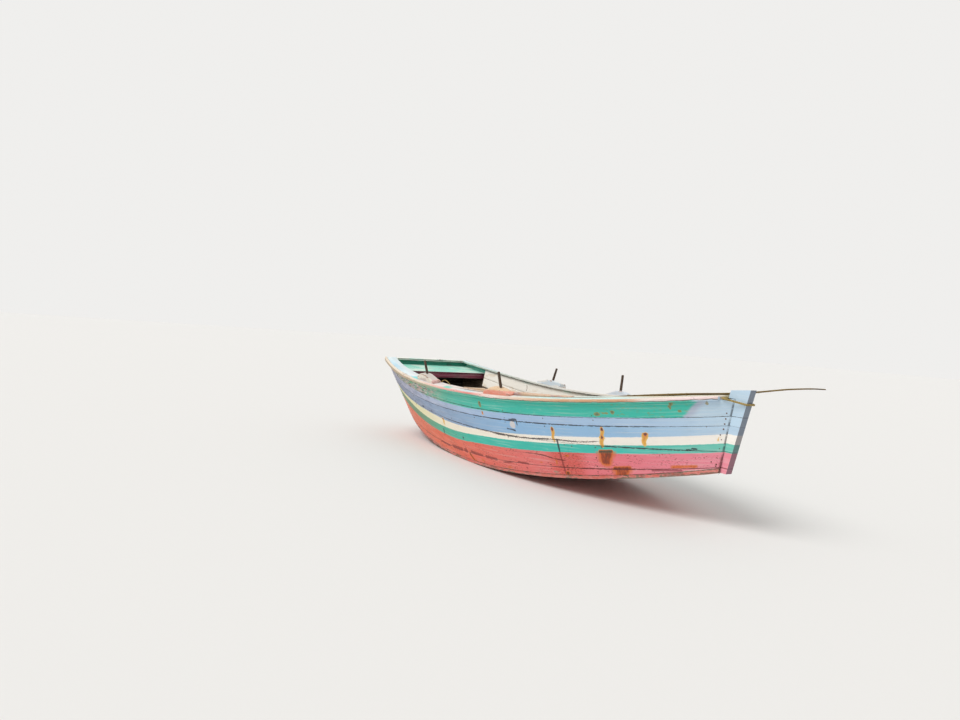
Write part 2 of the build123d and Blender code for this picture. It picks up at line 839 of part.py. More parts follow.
for name, pair in THOLES.items():
    for side, middle, length, aft, crown, fore, crown_share, pin_x, lean, free_length in pair:
        seat = pad_seat(middle, length)
        lean = math.radians(lean)
        pin_axis = Plane(
            origin=seat.origin + seat.x_dir * pin_x,
            x_dir=seat.y_dir,
            z_dir=seat.z_dir * math.cos(lean) + seat.x_dir * math.sin(lean),
        )
        pad = thole_pad(seat, pin_axis, length, aft, crown, fore, crown_share)
        pin = thole_pin(pin_axis, lean, crown, free_length)
        if side == "starboard":
            pad, pin = mirror(pad, about=Plane.XZ), mirror(pin, about=Plane.XZ)
        keep(pad, f"{side}_{name}_pad")
        keep(pin, f"{side}_{name}_pin")


# Mooring rope: over the planks' ends behind the head, then outside them and down to the stem's front
ROPE_OFF = ROPE_RADIUS + FIT
ROPE_AFT_X = HEAD_AFT_FOOT_X - SEAM - ROPE_OFF
ROPE_FRONT_Y = STEM_HALF + SEAM + ROPE_OFF
ROPE_AFT_Y = sheer_point(ROPE_AFT_X / SHEER_END_X).Y + ROPE_OFF
ROPE_AFT_Z = sheer_point((ROPE_AFT_X + ROPE_OFF) / SHEER_END_X).Z + ROPE_OFF + SEAM
with BuildPart() as rope:
    front_x = stem_front(ROPE_FRONT_Z) + ROPE_OFF * 1.2
    side = [(ROPE_AFT_X, ROPE_AFT_Y, ROPE_AFT_Z), (front_x, ROPE_FRONT_Y, ROPE_FRONT_Z)]
    corners = [Vector(x, -y, z) for x, y, z in side] + [Vector(*corner) for corner in reversed(side)]
    middle_aft = Vector(ROPE_AFT_X, 0, ROPE_AFT_Z)
    with BuildLine() as rope_line:
        FilletPolyline(middle_aft, *corners, middle_aft + Vector(0, 2 * SEAM, 0), radius=ROPE_BEND)
    with BuildSketch(Plane(origin=rope_line.line @ 0, z_dir=rope_line.line % 0)) as strand:
        RegularPolygon(ROPE_RADIUS, POLE_SIDES)
    sweep(transition=Transition.RIGHT)
keep(rope.part, "stem_rope")


# Pole: straight runs between its crooks
thwart_top = riser_top(THWART_X[0] - THWART_WIDTH / 2) + FIT + THWART
butt_slope = (riser_top(THWART_X[0] + THWART_WIDTH / 2) + FIT + THWART - thwart_top) / THWART_WIDTH
butt_z = thwart_top + butt_slope * (POLE_BUTT[0] - THWART_X[0] + THWART_WIDTH / 2) + POLE_BUTT_RADIUS + SEAM
butt = Vector(*POLE_BUTT, butt_z)
rest_x, rest_y = CAP_END_X - POLE_REST_BACK, STEM_HALF + FIT + POLE_REST_RADIUS
rest_share = rest_x / SHEER_END_X
rest_rise = (sheer_point(rest_share).Y - rest_y) * math.tan(cap_cant(rest_share))
rest = Vector(rest_x, rest_y, sheer_point(rest_share).Z + CAP_TOP + rest_rise + POLE_REST_RADIUS + POLE_OVER_CAP)
with BuildPart() as pole:
    knots = [(butt, POLE_BUTT_RADIUS)]
    knots += [(butt + (rest - butt) * way + Vector(0, 0, rise), r) for way, rise, r in POLE_CROOKS]
    knots += [(rest, POLE_REST_RADIUS)]
    knots += [(rest + Vector(dx, dy, dz), r) for dx, dy, dz, r in POLE_BEYOND]
    middles = [knot for knot, _ in knots]
    pole_sections = []
    for (knot, radius), behind, ahead in zip(knots, middles[:1] + middles, middles[1:] + middles[-1:]):
        with BuildSketch(Plane(origin=knot, x_dir=(0, 0, 1), z_dir=ahead - behind)) as pole_face:
            RegularPolygon(radius, POLE_SIDES)
        pole_sections.append(pole_face.sketch)
    loft(pole_sections, ruled=True)
keep(pole.part, "pole")


# The origin is under the middle of the whole, on the floor
boxes = [piece.bounding_box() for piece in PIECES.values()]
middle_x = (min(box.min.X for box in boxes) + max(box.max.X for box in boxes)) / 2
middle_y = (min(box.min.Y for box in boxes) + max(box.max.Y for box in boxes)) / 2
to_origin = Location((-middle_x, -middle_y, -min(box.min.Z for box in boxes)))
os.makedirs("parts", exist_ok=True)
for label, piece in PIECES.items():
    placed = piece.moved(to_origin)
    placed.label = label
    export_step(placed, f"parts/{label}.step")
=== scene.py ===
"""Looks of a planked beach rowing boat, built over its fixed solid model.

Each sub-assembly is a small class that builds and dresses its meshes, and each finish is a small class that
builds its material. Lengths are metres in the solid model's frame: X to the stem, Y to port, Z up.
"""

import functools
import json
import logging
import math
from dataclasses import dataclass, field
from enum import Enum
from typing import Callable, Iterable, Optional, Sequence

import bmesh
import bpy
import numpy as np
from bpy.types import Material, Mesh, MeshPolygon, Node, NodeSocket, NodeTree, Object
from mathutils import Matrix, Vector

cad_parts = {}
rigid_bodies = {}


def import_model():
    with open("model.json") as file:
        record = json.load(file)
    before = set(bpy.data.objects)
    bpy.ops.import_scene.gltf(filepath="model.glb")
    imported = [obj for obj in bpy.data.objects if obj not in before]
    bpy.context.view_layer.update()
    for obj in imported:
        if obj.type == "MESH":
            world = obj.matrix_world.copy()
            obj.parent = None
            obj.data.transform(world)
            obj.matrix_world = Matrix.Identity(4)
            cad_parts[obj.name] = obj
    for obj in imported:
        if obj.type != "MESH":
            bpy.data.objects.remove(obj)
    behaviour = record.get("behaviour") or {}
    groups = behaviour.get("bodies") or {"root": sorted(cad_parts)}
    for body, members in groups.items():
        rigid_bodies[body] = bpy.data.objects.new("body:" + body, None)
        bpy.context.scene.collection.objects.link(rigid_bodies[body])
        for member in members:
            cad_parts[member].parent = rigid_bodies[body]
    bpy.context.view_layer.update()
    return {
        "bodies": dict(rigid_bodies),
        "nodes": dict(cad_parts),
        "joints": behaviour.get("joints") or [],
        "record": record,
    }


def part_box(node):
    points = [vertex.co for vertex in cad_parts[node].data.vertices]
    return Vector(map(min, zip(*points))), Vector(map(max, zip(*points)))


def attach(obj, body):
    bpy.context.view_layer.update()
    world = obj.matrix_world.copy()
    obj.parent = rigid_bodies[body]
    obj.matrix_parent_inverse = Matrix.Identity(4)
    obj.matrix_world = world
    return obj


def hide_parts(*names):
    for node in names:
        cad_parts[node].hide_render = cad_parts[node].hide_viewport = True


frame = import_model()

log = logging.getLogger("rowing_boat")

Array = np.ndarray
Colour = tuple[float, float, float]
Triple = tuple[float, float, float]
Chip = tuple[int, int, int]
Plane = tuple[Triple, float, Colour]
Stops = Sequence[tuple[float, Chip]]
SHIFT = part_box("transom_cap")[0].x + 0.006
LENGTH = 4.514


def paint(red: int, green: int, blue: int) -> Colour:
    """Linear colour of a paint chip written in 0-255 steps."""
    steps = [value / 255 for value in (red, green, blue)]
    return tuple(s / 12.92 if s <= 0.04045 else ((s + 0.055) / 1.055) ** 2.4 for s in steps)


class Side(Enum):
    """The two sides of the boat, with the sign of their Y."""

    PORT = 1
    STARBOARD = -1

    @property
    def prefix(self) -> str:
        """Start of this side's piece names."""
        return self.name.lower()


# ---- unevenness


@dataclass(frozen=True)
class Unevenness:
    """Smooth repeatable random values over a plane, for worn edges and wavering lines."""

    seed: int
    size: int = 256

    @functools.cached_property
    def lattice(self) -> Array:
        """Square of random values that the plane is covered with."""
        return np.random.default_rng(self.seed).random((self.size, self.size))

    def __call__(self, x: Array, y: Array | float = 0.0) -> Array:
        """Value from 0 to 1 at each place.

        Args:
            x: First coordinate, one lattice step per unit.
            y: Second coordinate.

        Returns:
            The smoothly joined values.
        """
        x, y = np.broadcast_arrays(np.asarray(x, float), np.asarray(y, float))
        left, low = np.floor(x).astype(int), np.floor(y).astype(int)
        along, up = x - left, y - low
        along, up = along * along * (3 - 2 * along), up * up * (3 - 2 * up)
        grid, n = self.lattice, self.size
        near = grid[left % n, low % n] * (1 - along) + grid[(left + 1) % n, low % n] * along
        far = grid[left % n, (low + 1) % n] * (1 - along) + grid[(left + 1) % n, (low + 1) % n] * along
        return near * (1 - up) + far * up


# ---- hull lines


def unit(vectors: Array) -> Array:
    """Vectors of length one."""
    return vectors / np.linalg.norm(vectors, axis=-1, keepdims=True)


@dataclass(frozen=True)
class SideFrame:
    """Places and directions of the section planes at an array of shares of the length."""

    share: Array
    sheer: Array
    ruling: Array
    outward: Array
    depth: Array
    across: Array
    up: Array

    def at(self, down: Array | float, out: Array | float) -> Array:
        """Points at distances down the side and outward from its face."""
        down, out = [np.broadcast_to(value, self.share.shape)[..., None] for value in (down, out)]
        return self.sheer + self.ruling * down + self.outward * out

    def on_rail(self, out: Array | float, up: Array | float) -> Array:
        """Points at distances outboard along the cap and square up from it."""
        out, up = [np.broadcast_to(value, self.share.shape)[..., None] for value in (out, up)]
        return self.sheer + self.across * out + self.up * up


@dataclass(frozen=True)
class HullLines:
    """The port side's sheer, chine and bottom, from the transom at share 0 to the stem at share 1."""

    half_beam: float = 0.728
    transom_half: float = 0.523
    stem_half: float = 0.027
    sheer_low: float = 0.624
    rise_aft: float = 0.164
    rise_fore: float = 0.240
    chine_start: float = 0.251
    chine_end: float = 4.434
    chine_half: float = 0.545
    chine_widest: float = 2.150
    foot_half: float = 0.280
    rocker: float = 8.600
    rocker_low: float = 1.940
    plank: float = 0.022
    bottom: float = 0.028
    fit: float = 0.0004
    cant: float = 11.0
    widest: float = 0.38
    lowest: float = 0.42

    @staticmethod
    def fall(u: Array, at: float, aft: float, fore: float, powers: tuple[float, float]) -> Array:
        """How far a long curve has fallen from its middle at each share."""
        back, ahead = np.clip((at - u) / at, 0, None), np.clip((u - at) / (1 - at), 0, None)
        return np.where(u < at, aft * back ** powers[0], fore * ahead ** powers[1])

    def bottom_height(self, x: Array, above: float = 0.0) -> Array:
        """Height of a line bent to the rocker, above the bottom's underside."""
        return self.rocker - np.sqrt((self.rocker - above) ** 2 - (x - self.rocker_low) ** 2)

    def sheer(self, u: Array) -> Array:
        """Points of the sheer."""
        aft, fore = self.half_beam - self.transom_half, self.half_beam - self.stem_half
        y = self.half_beam - self.fall(u, self.widest, aft, fore, (2.3, 2.75))
        z = self.sheer_low + self.fall(u, self.lowest, self.rise_aft, self.rise_fore, (2, 2))
        return np.stack((LENGTH * u, y, z), -1)

    def chine(self, u: Array) -> Array:
        """Points of the chine."""
        x = self.chine_start + (self.chine_end - self.chine_start) * u
        behind = x < self.chine_widest
        far = np.where(behind, self.chine_widest - self.chine_start, self.chine_end - self.chine_widest)
        drop = self.chine_half - np.where(behind, self.foot_half, self.stem_half)
        radius = (far**2 + drop**2) / (2 * drop)
        y = self.chine_half - radius + np.sqrt(radius**2 - (x - self.chine_widest) ** 2)
        return np.stack((x, y, self.bottom_height(x)), -1)

    def side(self, u: Array) -> SideFrame:
        """Section planes at an array of shares.

        Args:
            u: Shares of the length, 0 to 1.

        Returns:
            The planes' origins on the sheer and their directions.
        """
        u = np.asarray(u, float)
        nudge = 1e-4
        low, high = np.clip(u - nudge, 0, 1), np.clip(u + nudge, 0, 1)
        sheer, chine = self.sheer(u), self.chine(u)
        tangent = self.sheer(high) - self.sheer(low) + self.chine(high) - self.chine(low)
        ruling = unit(chine - sheer)
        outward = unit(np.cross(tangent, ruling))
        forward = np.cross(ruling, outward)
        level = unit(outward * -ruling[..., 2:] + ruling * outward[..., 2:])
        upright = np.cross(forward, level)
        cant = np.radians(self.cant) * (1 - (2 * u - 1) ** 4)[..., None]
        across = level * np.cos(cant) - upright * np.sin(cant)
        up = upright * np.cos(cant) + level * np.sin(cant)
        return SideFrame(u, sheer, ruling, outward, np.linalg.norm(chine - sheer, axis=-1), across, up)

    def seam(self, frame: SideFrame, index: int) -> Array:
        """Distance down the side of the seam above a strake."""
        aft, change, sweep = SEAMS[index]
        return (aft + change * frame.share + sweep * frame.share**6) * frame.depth

    @staticmethod
    def under_cap(frame: SideFrame, gap: float, out: float) -> Array:
        """Distance down to the cap's underside, at a distance outward."""
        along = np.sum(frame.up * frame.outward, -1) / np.sum(frame.up * frame.ruling, -1)
        return gap - along * out

    def off_bottom(self, frame: SideFrame, gap: float, out: float) -> Array:
        """Distance down to a line above the bottom boards, at a distance outward."""
        start, down = frame.sheer + frame.outward * out, frame.depth.copy()
        for _ in range(6):
            x = start[..., 0] + frame.ruling[..., 0] * down
            down = (self.bottom_height(x, self.bottom) + gap - start[..., 2]) / frame.ruling[..., 2]
        return down


SEAMS = ((0.0, 0.0, 0.0), (0.15, 0.05, 0.03), (0.275, 0.01, 0.075), (0.37, 0.18, 0.16), (0.87, -0.04, 0.10))
HULL = HullLines()


# ---- marks on the sides


class Trace(Enum):
    """What a mark is made of, by its channel in the marks attribute."""

    RUST = 0
    BARE = 1
    DARK = 2
    PALE = 3


@dataclass(frozen=True)
class Patch:
    """An oval mark, placed by its shares of the length and of the side's depth."""

    trace: Trace
    u: float
    v: float
    long: float
    tall: float
    strength: float = 1.0

    def field(self, u: Array, v: Array, depth: Array) -> Array:
        """Strength of the mark at each place of the side."""
        along, down = (u - self.u) * LENGTH / self.long, (v - self.v) * depth / self.tall
        return self.strength * np.clip(1.6 * (1 - np.sqrt(along**2 + down**2)), 0, 1)


@dataclass(frozen=True)
class Drip:
    """A run below a nail, widest at its head and thinning to its foot."""

    trace: Trace
    u: float
    v: float
    foot: float
    wide: float
    strength: float = 1.0

    def field(self, u: Array, v: Array, depth: Array) -> Array:
        """Strength of the run at each place of the side."""
        way = (v - self.v) / (self.foot - self.v)
        sway = 0.004 * np.sin(9 * way)
        width = self.wide * (1 - 0.55 * np.clip(way, 0, 1))
        body = 1 - np.abs((u - self.u) * LENGTH - sway) / width
        ends = np.clip((way + 0.06) / 0.08, 0, 1) * np.clip((1.05 - way) / 0.35, 0, 1)
        return self.strength * np.clip(1.5 * body, 0, 1) * ends


@dataclass(frozen=True)
class Crack:
    """A thin line from one place to another, broken by its raggedness."""

    trace: Trace
    start: tuple[float, float]
    end: tuple[float, float]
    thick: float
    ragged: float = 0.5
    strength: float = 1.0

    def field(self, u: Array, v: Array, depth: Array) -> Array:
        """Strength of the line at each place of the side."""
        run = np.array([(self.end[0] - self.start[0]) * LENGTH, (self.end[1] - self.start[1]) * np.mean(depth)])
        s, t = (u - self.start[0]) * LENGTH, (v - self.start[1]) * depth
        size = float(run @ run)
        way = np.clip((s * run[0] + t * run[1]) / size, 0, 1)
        off = np.hypot(s - way * run[0], t - way * run[1])
        breaks = Unevenness(31)(s * 22, t * 6)
        kept = np.clip(4 * (breaks - self.ragged) + 1, 0, 1)
        return self.strength * np.clip(1.6 * (1 - off / self.thick), 0, 1) * kept


Mark = Patch | Drip | Crack


def traces(kind: type, trace: Trace, *rows: tuple) -> list[Mark]:
    """Marks of one kind and trace, each from a row of its other values."""
    return [kind(trace, *row) for row in rows]


def mark_colours(marks: Iterable[Mark], u: Array, v: Array, depth: Array) -> Array:
    """The marks attribute at each place: rust, bare wood, dark and pale in its four channels."""
    out = np.zeros(u.shape + (4,))
    for mark in marks:
        channel = mark.trace.value
        out[..., channel] = np.maximum(out[..., channel], mark.field(u, v, depth))
    return out


# ---- meshes


@dataclass
class Skin:
    """A grid of points that becomes a closed strip's mesh, with its own attributes.

    The two charts have one more column than the points, for where each section closes.
    """

    name: str
    points: Array
    bands: Array
    metres: Array
    edge: Array
    marks: Optional[Array] = None

    def build(self, side: Side) -> Object:
        """Make the mesh object on one side of the boat.

        Args:
            side: Side of the boat; the points are given for port.

        Returns:
            The new object, linked to the scene.
        """
        n, m = self.points.shape[:2]
        verts = self.points.reshape(-1, 3) * (1, side.value, 1) + (SHIFT, 0, 0)
        rows, ring = np.arange(n - 1)[:, None] * m, np.arange(m)[None, :]
        after = (ring + 1) % m
        quads = np.stack((rows + ring, rows + after, rows + m + after, rows + m + ring), -1).reshape(-1, 4)
        caps = [np.arange(m)[::-1], np.arange(m) + (n - 1) * m]
        a, b, c, d = [verts[quads[:, i]] for i in range(4)]
        middle = verts.mean(0)
        volume = np.sum(np.einsum("ij,ij->i", a - middle, np.cross(b - middle, c - middle)))
        volume += np.sum(np.einsum("ij,ij->i", a - middle, np.cross(c - middle, d - middle)))
        if volume < 0:
            quads, caps = quads[:, ::-1], [cap[::-1] for cap in caps]
        loops = np.concatenate([quads.ravel(), *caps]).astype(np.int32)
        totals = np.concatenate([np.full(len(quads), 4), [m, m]])
        mesh = bpy.data.meshes.new(self.name)
        mesh.vertices.add(len(verts))
        mesh.vertices.foreach_set("co", verts.astype(np.float32).ravel())
        mesh.loops.add(len(loops))
        mesh.loops.foreach_set("vertex_index", loops)
        mesh.polygons.add(len(totals))
        mesh.polygons.foreach_set("loop_start", (np.cumsum(totals) - totals).astype(np.int32))
        mesh.update(calc_edges=True)
        place = np.stack((rows + ring, rows + ring + 1, rows + m + ring + 1, rows + m + ring), -1).reshape(-1, 4)
        place = place + np.repeat(np.arange(n - 1), m)[:, None] + (0, 0, 1, 1)
        ends = [np.arange(m), np.arange(m) + (n - 1) * (m + 1)]
        if volume < 0:
            place, ends = place[:, ::-1], [ends[0], ends[1][::-1]]
        else:
            ends[0] = ends[0][::-1]
        place = np.concatenate([place.ravel(), *ends])
        set_charts(mesh, place, bands=self.bands, metres=self.metres)
        set_field(mesh, "edge", self.edge)
        if self.marks is not None:
            set_field(mesh, "marks", self.marks)
        smooth(mesh, 50)
        return link(mesh)


FIELD_KINDS = {1: ("FLOAT", "value"), 3: ("FLOAT_VECTOR", "vector"), 4: ("FLOAT_COLOR", "color")}


def set_field(mesh: Mesh, name: str, values: Array) -> None:
    """Write a number, a vector or a colour per vertex as a named attribute."""
    kind, key = FIELD_KINDS[values.size // len(mesh.vertices)]
    mesh.attributes.new(name, kind, "POINT").data.foreach_set(key, values.astype(np.float32).ravel())


def set_charts(mesh: Mesh, rows: Array, **charts: Array) -> None:
    """Write coordinate maps, each from a table of places and the row in it of every face corner."""
    for name, values in charts.items():
        mesh.uv_layers.new(name=name).data.foreach_set("uv", values.reshape(-1, 2)[rows].astype(np.float32).ravel())


def smooth(mesh: Mesh, degrees: float) -> None:
    """Shade a mesh smooth, apart from edges sharper than an angle."""
    mesh.polygons.foreach_set("use_smooth", np.ones(len(mesh.polygons), bool))
    mesh.set_sharp_from_angle(angle=math.radians(degrees))


def link(mesh: Mesh) -> Object:
    """Put a mesh in the scene as an object of the same name."""
    item = bpy.data.objects.new(mesh.name, mesh)
    bpy.context.scene.collection.objects.link(item)
    return item


@dataclass(frozen=True)
class Strip:
    """A long strip of wood with four worn corners, swept along the hull."""

    name: str
    frame: SideFrame
    corners: Array
    rows: tuple[int, int, int, int]
    worn: float = 0.0035
    seed: int = 1
    fade: float = 0.012
    marks: tuple[Mark, ...] = ()
    least: float = 0.55
    swing: float = 0.9
    gouges: Triple = (2.2, 0.82, 0.18)
    widest: float = 0.42
    rounding: float = 0.29

    def ring(self) -> tuple[Array, Array]:
        """Points and edge wear of every section, round from the first corner."""
        n = len(self.corners)
        along = np.cumsum(np.r_[0, np.linalg.norm(np.diff(self.frame.sheer, axis=0), axis=1)])
        chip = Unevenness(self.seed)
        deeper, above, span = self.gouges
        points, edges = [], []
        for k in range(4):
            corner, before, after = [self.corners[:, (k + step) % 4] for step in (0, -1, 1)]
            size_in, size_out = [np.linalg.norm(other - corner, axis=-1) for other in (before, after)]
            bite = self.worn * (self.least + self.swing * chip(along * 14, 7.3 * k))
            bite += self.worn * deeper * np.clip(chip(along * 31, 3.1 * k + 50) - above, 0, 1) / span
            bite = np.minimum(bite, self.widest * np.minimum(size_in, size_out))[:, None]
            toward, onward = unit(before - corner), unit(after - corner)
            start, end = corner + toward * bite, corner + onward * bite
            middle = corner + (toward + onward) * bite * self.rounding
            points += [start, middle, end]
            edges += [np.full(n, 0.9), np.ones(n), np.full(n, 0.9)]
            stop = after - onward * bite
            for row in range(1, self.rows[k]):
                share = row / self.rows[k]
                points.append(end + (stop - end) * share)
                near = np.minimum(share, 1 - share) * size_out
                edges.append(np.exp(-near / self.fade))
        return np.stack(points, 1), np.stack(edges, 1)

    def skin(self) -> Skin:
        """The strip's grid with its coordinates along the boat."""
        points, edge = self.ring()
        frame = self.frame
        down = np.einsum("nmk,nk->nm", points - frame.sheer[:, None], frame.ruling)
        out = np.einsum("nmk,nk->nm", points - frame.sheer[:, None], frame.outward)
        u = np.broadcast_to(frame.share[:, None], down.shape)
        v = down / frame.depth[:, None]
        closed = np.concatenate((points, points[:, :1]), axis=1)
        around = np.cumsum(np.linalg.norm(np.diff(closed, axis=1, prepend=closed[:, :1]), axis=-1), axis=1)
        along = np.cumsum(np.r_[0, np.linalg.norm(np.diff(frame.sheer, axis=0), axis=1)])
        metres = np.stack((np.broadcast_to(along[:, None], around.shape) + LENGTH * frame.share[0], around), -1)
        depth = np.broadcast_to(frame.depth[:, None], down.shape)
        marks = mark_colours(self.marks, u, v, depth) * (out > -0.006)[..., None] if self.marks else None
        bands = np.stack((u, v), -1)
        return Skin(self.name, points, np.concatenate((bands, bands[:, :1]), axis=1), metres, edge, marks)


def stations(start: float, end: float, step: float = 0.009) -> Array:
    """Shares of the length from start to end, a step in metres apart."""
    return np.linspace(start, end, max(2, round((end - start) * LENGTH / step) + 1))


@dataclass(frozen=True)
class Softened:
    """A board of the solid model with its hard edges worn round and ready for edge wear."""

    node: str
    bevel: float = 0.0025
    margin: float = 0.010
    segments: int = 2
    sharp: float = 30.0
    flat: float = 0.8
    weld: float = 2e-5
    profile: float = 0.6
    smallest: float = 8
    shading: float = 40.0

    def build(self) -> Object:
        """Make the worn copy, which stands for the node.

        Returns:
            The new object, linked to the scene.
        """
        source = frame["nodes"][self.node]
        work = bmesh.new()
        work.from_mesh(source.data)
        bmesh.ops.remove_doubles(work, verts=work.verts, dist=self.weld)
        angle = math.radians(self.sharp)
        bmesh.ops.dissolve_limit(work, angle_limit=math.radians(self.flat), verts=work.verts, edges=work.edges)
        hard = [e for e in work.edges if len(e.link_faces) == 2 and e.calc_face_angle(0) > angle]
        cut = bmesh.ops.bevel(
            work, geom=hard, offset=self.bevel, segments=self.segments, profile=self.profile, affect="EDGES",
            clamp_overlap=True,
        )
        worn = set(cut["faces"])
        layer = work.verts.layers.float.new("edge")
        for vert in work.verts:
            vert[layer] = 1.0
        for region in self.regions(work, worn):
            if sum(face.calc_area() for face in region) < self.smallest * self.margin**2:
                continue
            bmesh.ops.inset_region(work, faces=region, thickness=self.margin, use_even_offset=True, use_boundary=True)
            rim = {vert for face in region for vert in face.verts}
            for vert in rim:
                if vert.is_valid:
                    vert[layer] = 0.0
        mesh = bpy.data.meshes.new(f"{self.node}_wood")
        bmesh.ops.recalc_face_normals(work, faces=work.faces)
        work.to_mesh(mesh)
        work.free()
        smooth(mesh, self.shading)
        item = link(mesh)
        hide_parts(self.node)
        return item

    @staticmethod
    def regions(work: bmesh.types.BMesh, worn: set) -> list[list]:
        """Groups of faces that are joined smoothly, between the worn edges."""
        gentle = 0.35
        left, groups = {face for face in work.faces if face not in worn}, []
        while left:
            stack, group = [left.pop()], []
            while stack:
                face = stack.pop()
                group.append(face)
                for edge in face.edges:
                    for other in edge.link_faces:
                        if other in left and edge.calc_face_angle(0) < gentle:
                            left.discard(other)
                            stack.append(other)
            groups.append(group)
        return groups


# ---- node nets


@dataclass(frozen=True, eq=False)
class Value:
    """What a node puts out, reckoned with in the usual signs; each sign adds a Math node."""

    net: "Net"
    socket: NodeSocket

    def __add__(self, other: object) -> "Value":
        """Sum."""
        return self.net.math("ADD", self, other)

    def __sub__(self, other: object) -> "Value":
        """Difference."""
        return self.net.math("SUBTRACT", self, other)

    def __rsub__(self, other: object) -> "Value":
        """Difference from a plain number."""
        return self.net.math("SUBTRACT", other, self)

    def __mul__(self, other: object) -> "Value":
        """Product."""
        return self.net.math("MULTIPLY", self, other)


class Net:
    """A node tree in the making, with short calls for the nodes that the finishes use."""

    def __init__(self, tree: NodeTree) -> None:
        """Start on an existing tree."""
        self.tree = tree

    def feed(self, socket: NodeSocket, value: object) -> None:
        """Link a value to an input, or write a plain one on it."""
        value = value.socket if isinstance(value, Value) else value
        if isinstance(value, NodeSocket):
            self.tree.links.new(value, socket)
        elif isinstance(value, tuple) and socket.type == "RGBA":
            socket.default_value = (*value, 1.0)
        elif value is not None:
            socket.default_value = value

    def node(self, kind: str, inputs: Optional[dict] = None, **settings: object) -> Node:
        """Add a node.

        Args:
            kind: Blender's name of the node type.
            inputs: Values by input name or number.
            settings: The node's own properties.

        Returns:
            The new node.
        """
        item = self.tree.nodes.new(kind)
        for key, value in settings.items():
            setattr(item, key, value)
        for key, value in (inputs or {}).items():
            self.feed(item.inputs[key], value)
        return item

    def read(self, kind: str, inputs: Optional[dict] = None, output: int | str = 0, **settings: object) -> Value:
        """Add a node and take one of its outputs."""
        return Value(self, self.node(kind, inputs, **settings).outputs[output])

    def named(self, sockets: Iterable[NodeSocket]) -> dict[str, Value]:
        """Values of a node's outputs by name."""
        return {socket.name: Value(self, socket) for socket in sockets if socket.name}

    def math(self, operation: str, *operands: object, clamp: bool = False) -> Value:
        """Result of one Math node."""
        return self.read("ShaderNodeMath", dict(enumerate(operands)), operation=operation, use_clamp=clamp)

    def fused(self, a: object, b: object, c: object) -> Value:
        """The first times the second, plus the third."""
        return self.math("MULTIPLY_ADD", a, b, c)

    def mix(self, factor: object, a: object, b: object) -> Value:
        """Colour between two others."""
        return self.read("ShaderNodeMix", {0: factor, 6: a, 7: b}, 2, data_type="RGBA", clamp_factor=True)

    def glaze(self, factor: object, colour: object, tint: object, share: float = 0.5) -> Value:
        """Colour that turns by a share towards a tint where the factor is one."""
        return self.mix(factor, colour, self.mix(share, colour, tint))

    def step(self, value: object, low: object, high: object, least: float = 0.0, most: float = 1.0) -> Value:
        """Smooth rise of a value from low to high."""
        inputs = {0: value, 1: low, 2: high, 3: least, 4: most}
        return self.read("ShaderNodeMapRange", inputs, interpolation_type="SMOOTHSTEP")

    def scaled(self, vector: object, scale: Triple, shift: Triple = (0, 0, 0)) -> Value:
        """A vector stretched by an axis and shifted."""
        return self.read("ShaderNodeVectorMath", {0: vector, 1: scale, 2: shift}, operation="MULTIPLY_ADD")

    def noise(self, vector: Value, scale: float | Triple, detail: float = 2.0, rough: float = 0.5,
              shift: Triple = (0, 0, 0)) -> Value:
        """Value of a cloudy noise, stretched by an axis where the scale has three numbers."""
        if isinstance(scale, tuple):
            vector, scale = self.scaled(vector, scale, shift), 1.0
        inputs = {"Vector": vector, "Scale": scale, "Detail": detail, "Roughness": rough}
        return self.read("ShaderNodeTexNoise", inputs)

    def curve(self, value: object, points: Sequence[tuple[float, float]]) -> Value:
        """A line through points, read at a value from 0 to 1."""
        item = self.node("ShaderNodeFloatCurve", {"Value": value})
        line = item.mapping.curves[0]
        line.points[0].location, line.points[1].location = points[0], points[-1]
        for place in points[1:-1]:
            line.points.new(*place)
        item.mapping.update()
        return Value(self, item.outputs[0])

    def ramp(self, value: object, stops: Stops) -> Value:
        """A colour that changes along a value, from paint chips at places from 0 to 1."""
        item = self.node("ShaderNodeValToRGB", {0: value})
        band = item.color_ramp
        for end in (0, -1):
            band.elements[end].position, band.elements[end].color = stops[end][0], (*paint(*stops[end][1]), 1)
        for place, chip in stops[1:-1]:
            band.elements.new(place).color = (*paint(*chip), 1)
        return Value(self, item.outputs[0])

    def parts(self, vector: object) -> tuple[Value, ...]:
        """The three numbers of a vector."""
        return tuple(self.named(self.node("ShaderNodeSeparateXYZ", {0: vector}).outputs).values())

    def group(self, tree: NodeTree, **values: object) -> dict[str, Value]:
        """Place a shared group, with its values given by its input names in lower case, and take its outputs."""
        item = self.node("ShaderNodeGroup", node_tree=tree)
        for socket in item.inputs:
            if socket.name.lower() in values:
                self.feed(socket, values[socket.name.lower()])
        return self.named(item.outputs)


def new_group(name: str, inputs: dict[str, object], outputs: dict[str, str]) -> tuple[Net, dict[str, Value], dict]:
    """Start a shared shader group.

    Args:
        name: Name of the group.
        inputs: Default value by input name; a tuple makes a vector input.
        outputs: Socket kind by output name, Float or Color.

    Returns:
        The net to build in, the inputs' values by name and the group's output sockets by name.
    """
    tree = bpy.data.node_groups.new(name, "ShaderNodeTree")
    for label, value in inputs.items():
        kind = "NodeSocketVector" if isinstance(value, tuple) else "NodeSocketFloat"
        tree.interface.new_socket(label, in_out="INPUT", socket_type=kind).default_value = value
    for label, kind in outputs.items():
        tree.interface.new_socket(label, in_out="OUTPUT", socket_type=f"NodeSocket{kind}")
    net = Net(tree)
    start, stop = net.node("NodeGroupInput"), net.node("NodeGroupOutput")
    return net, net.named(start.outputs), {s.name: s for s in stop.inputs if s.name}


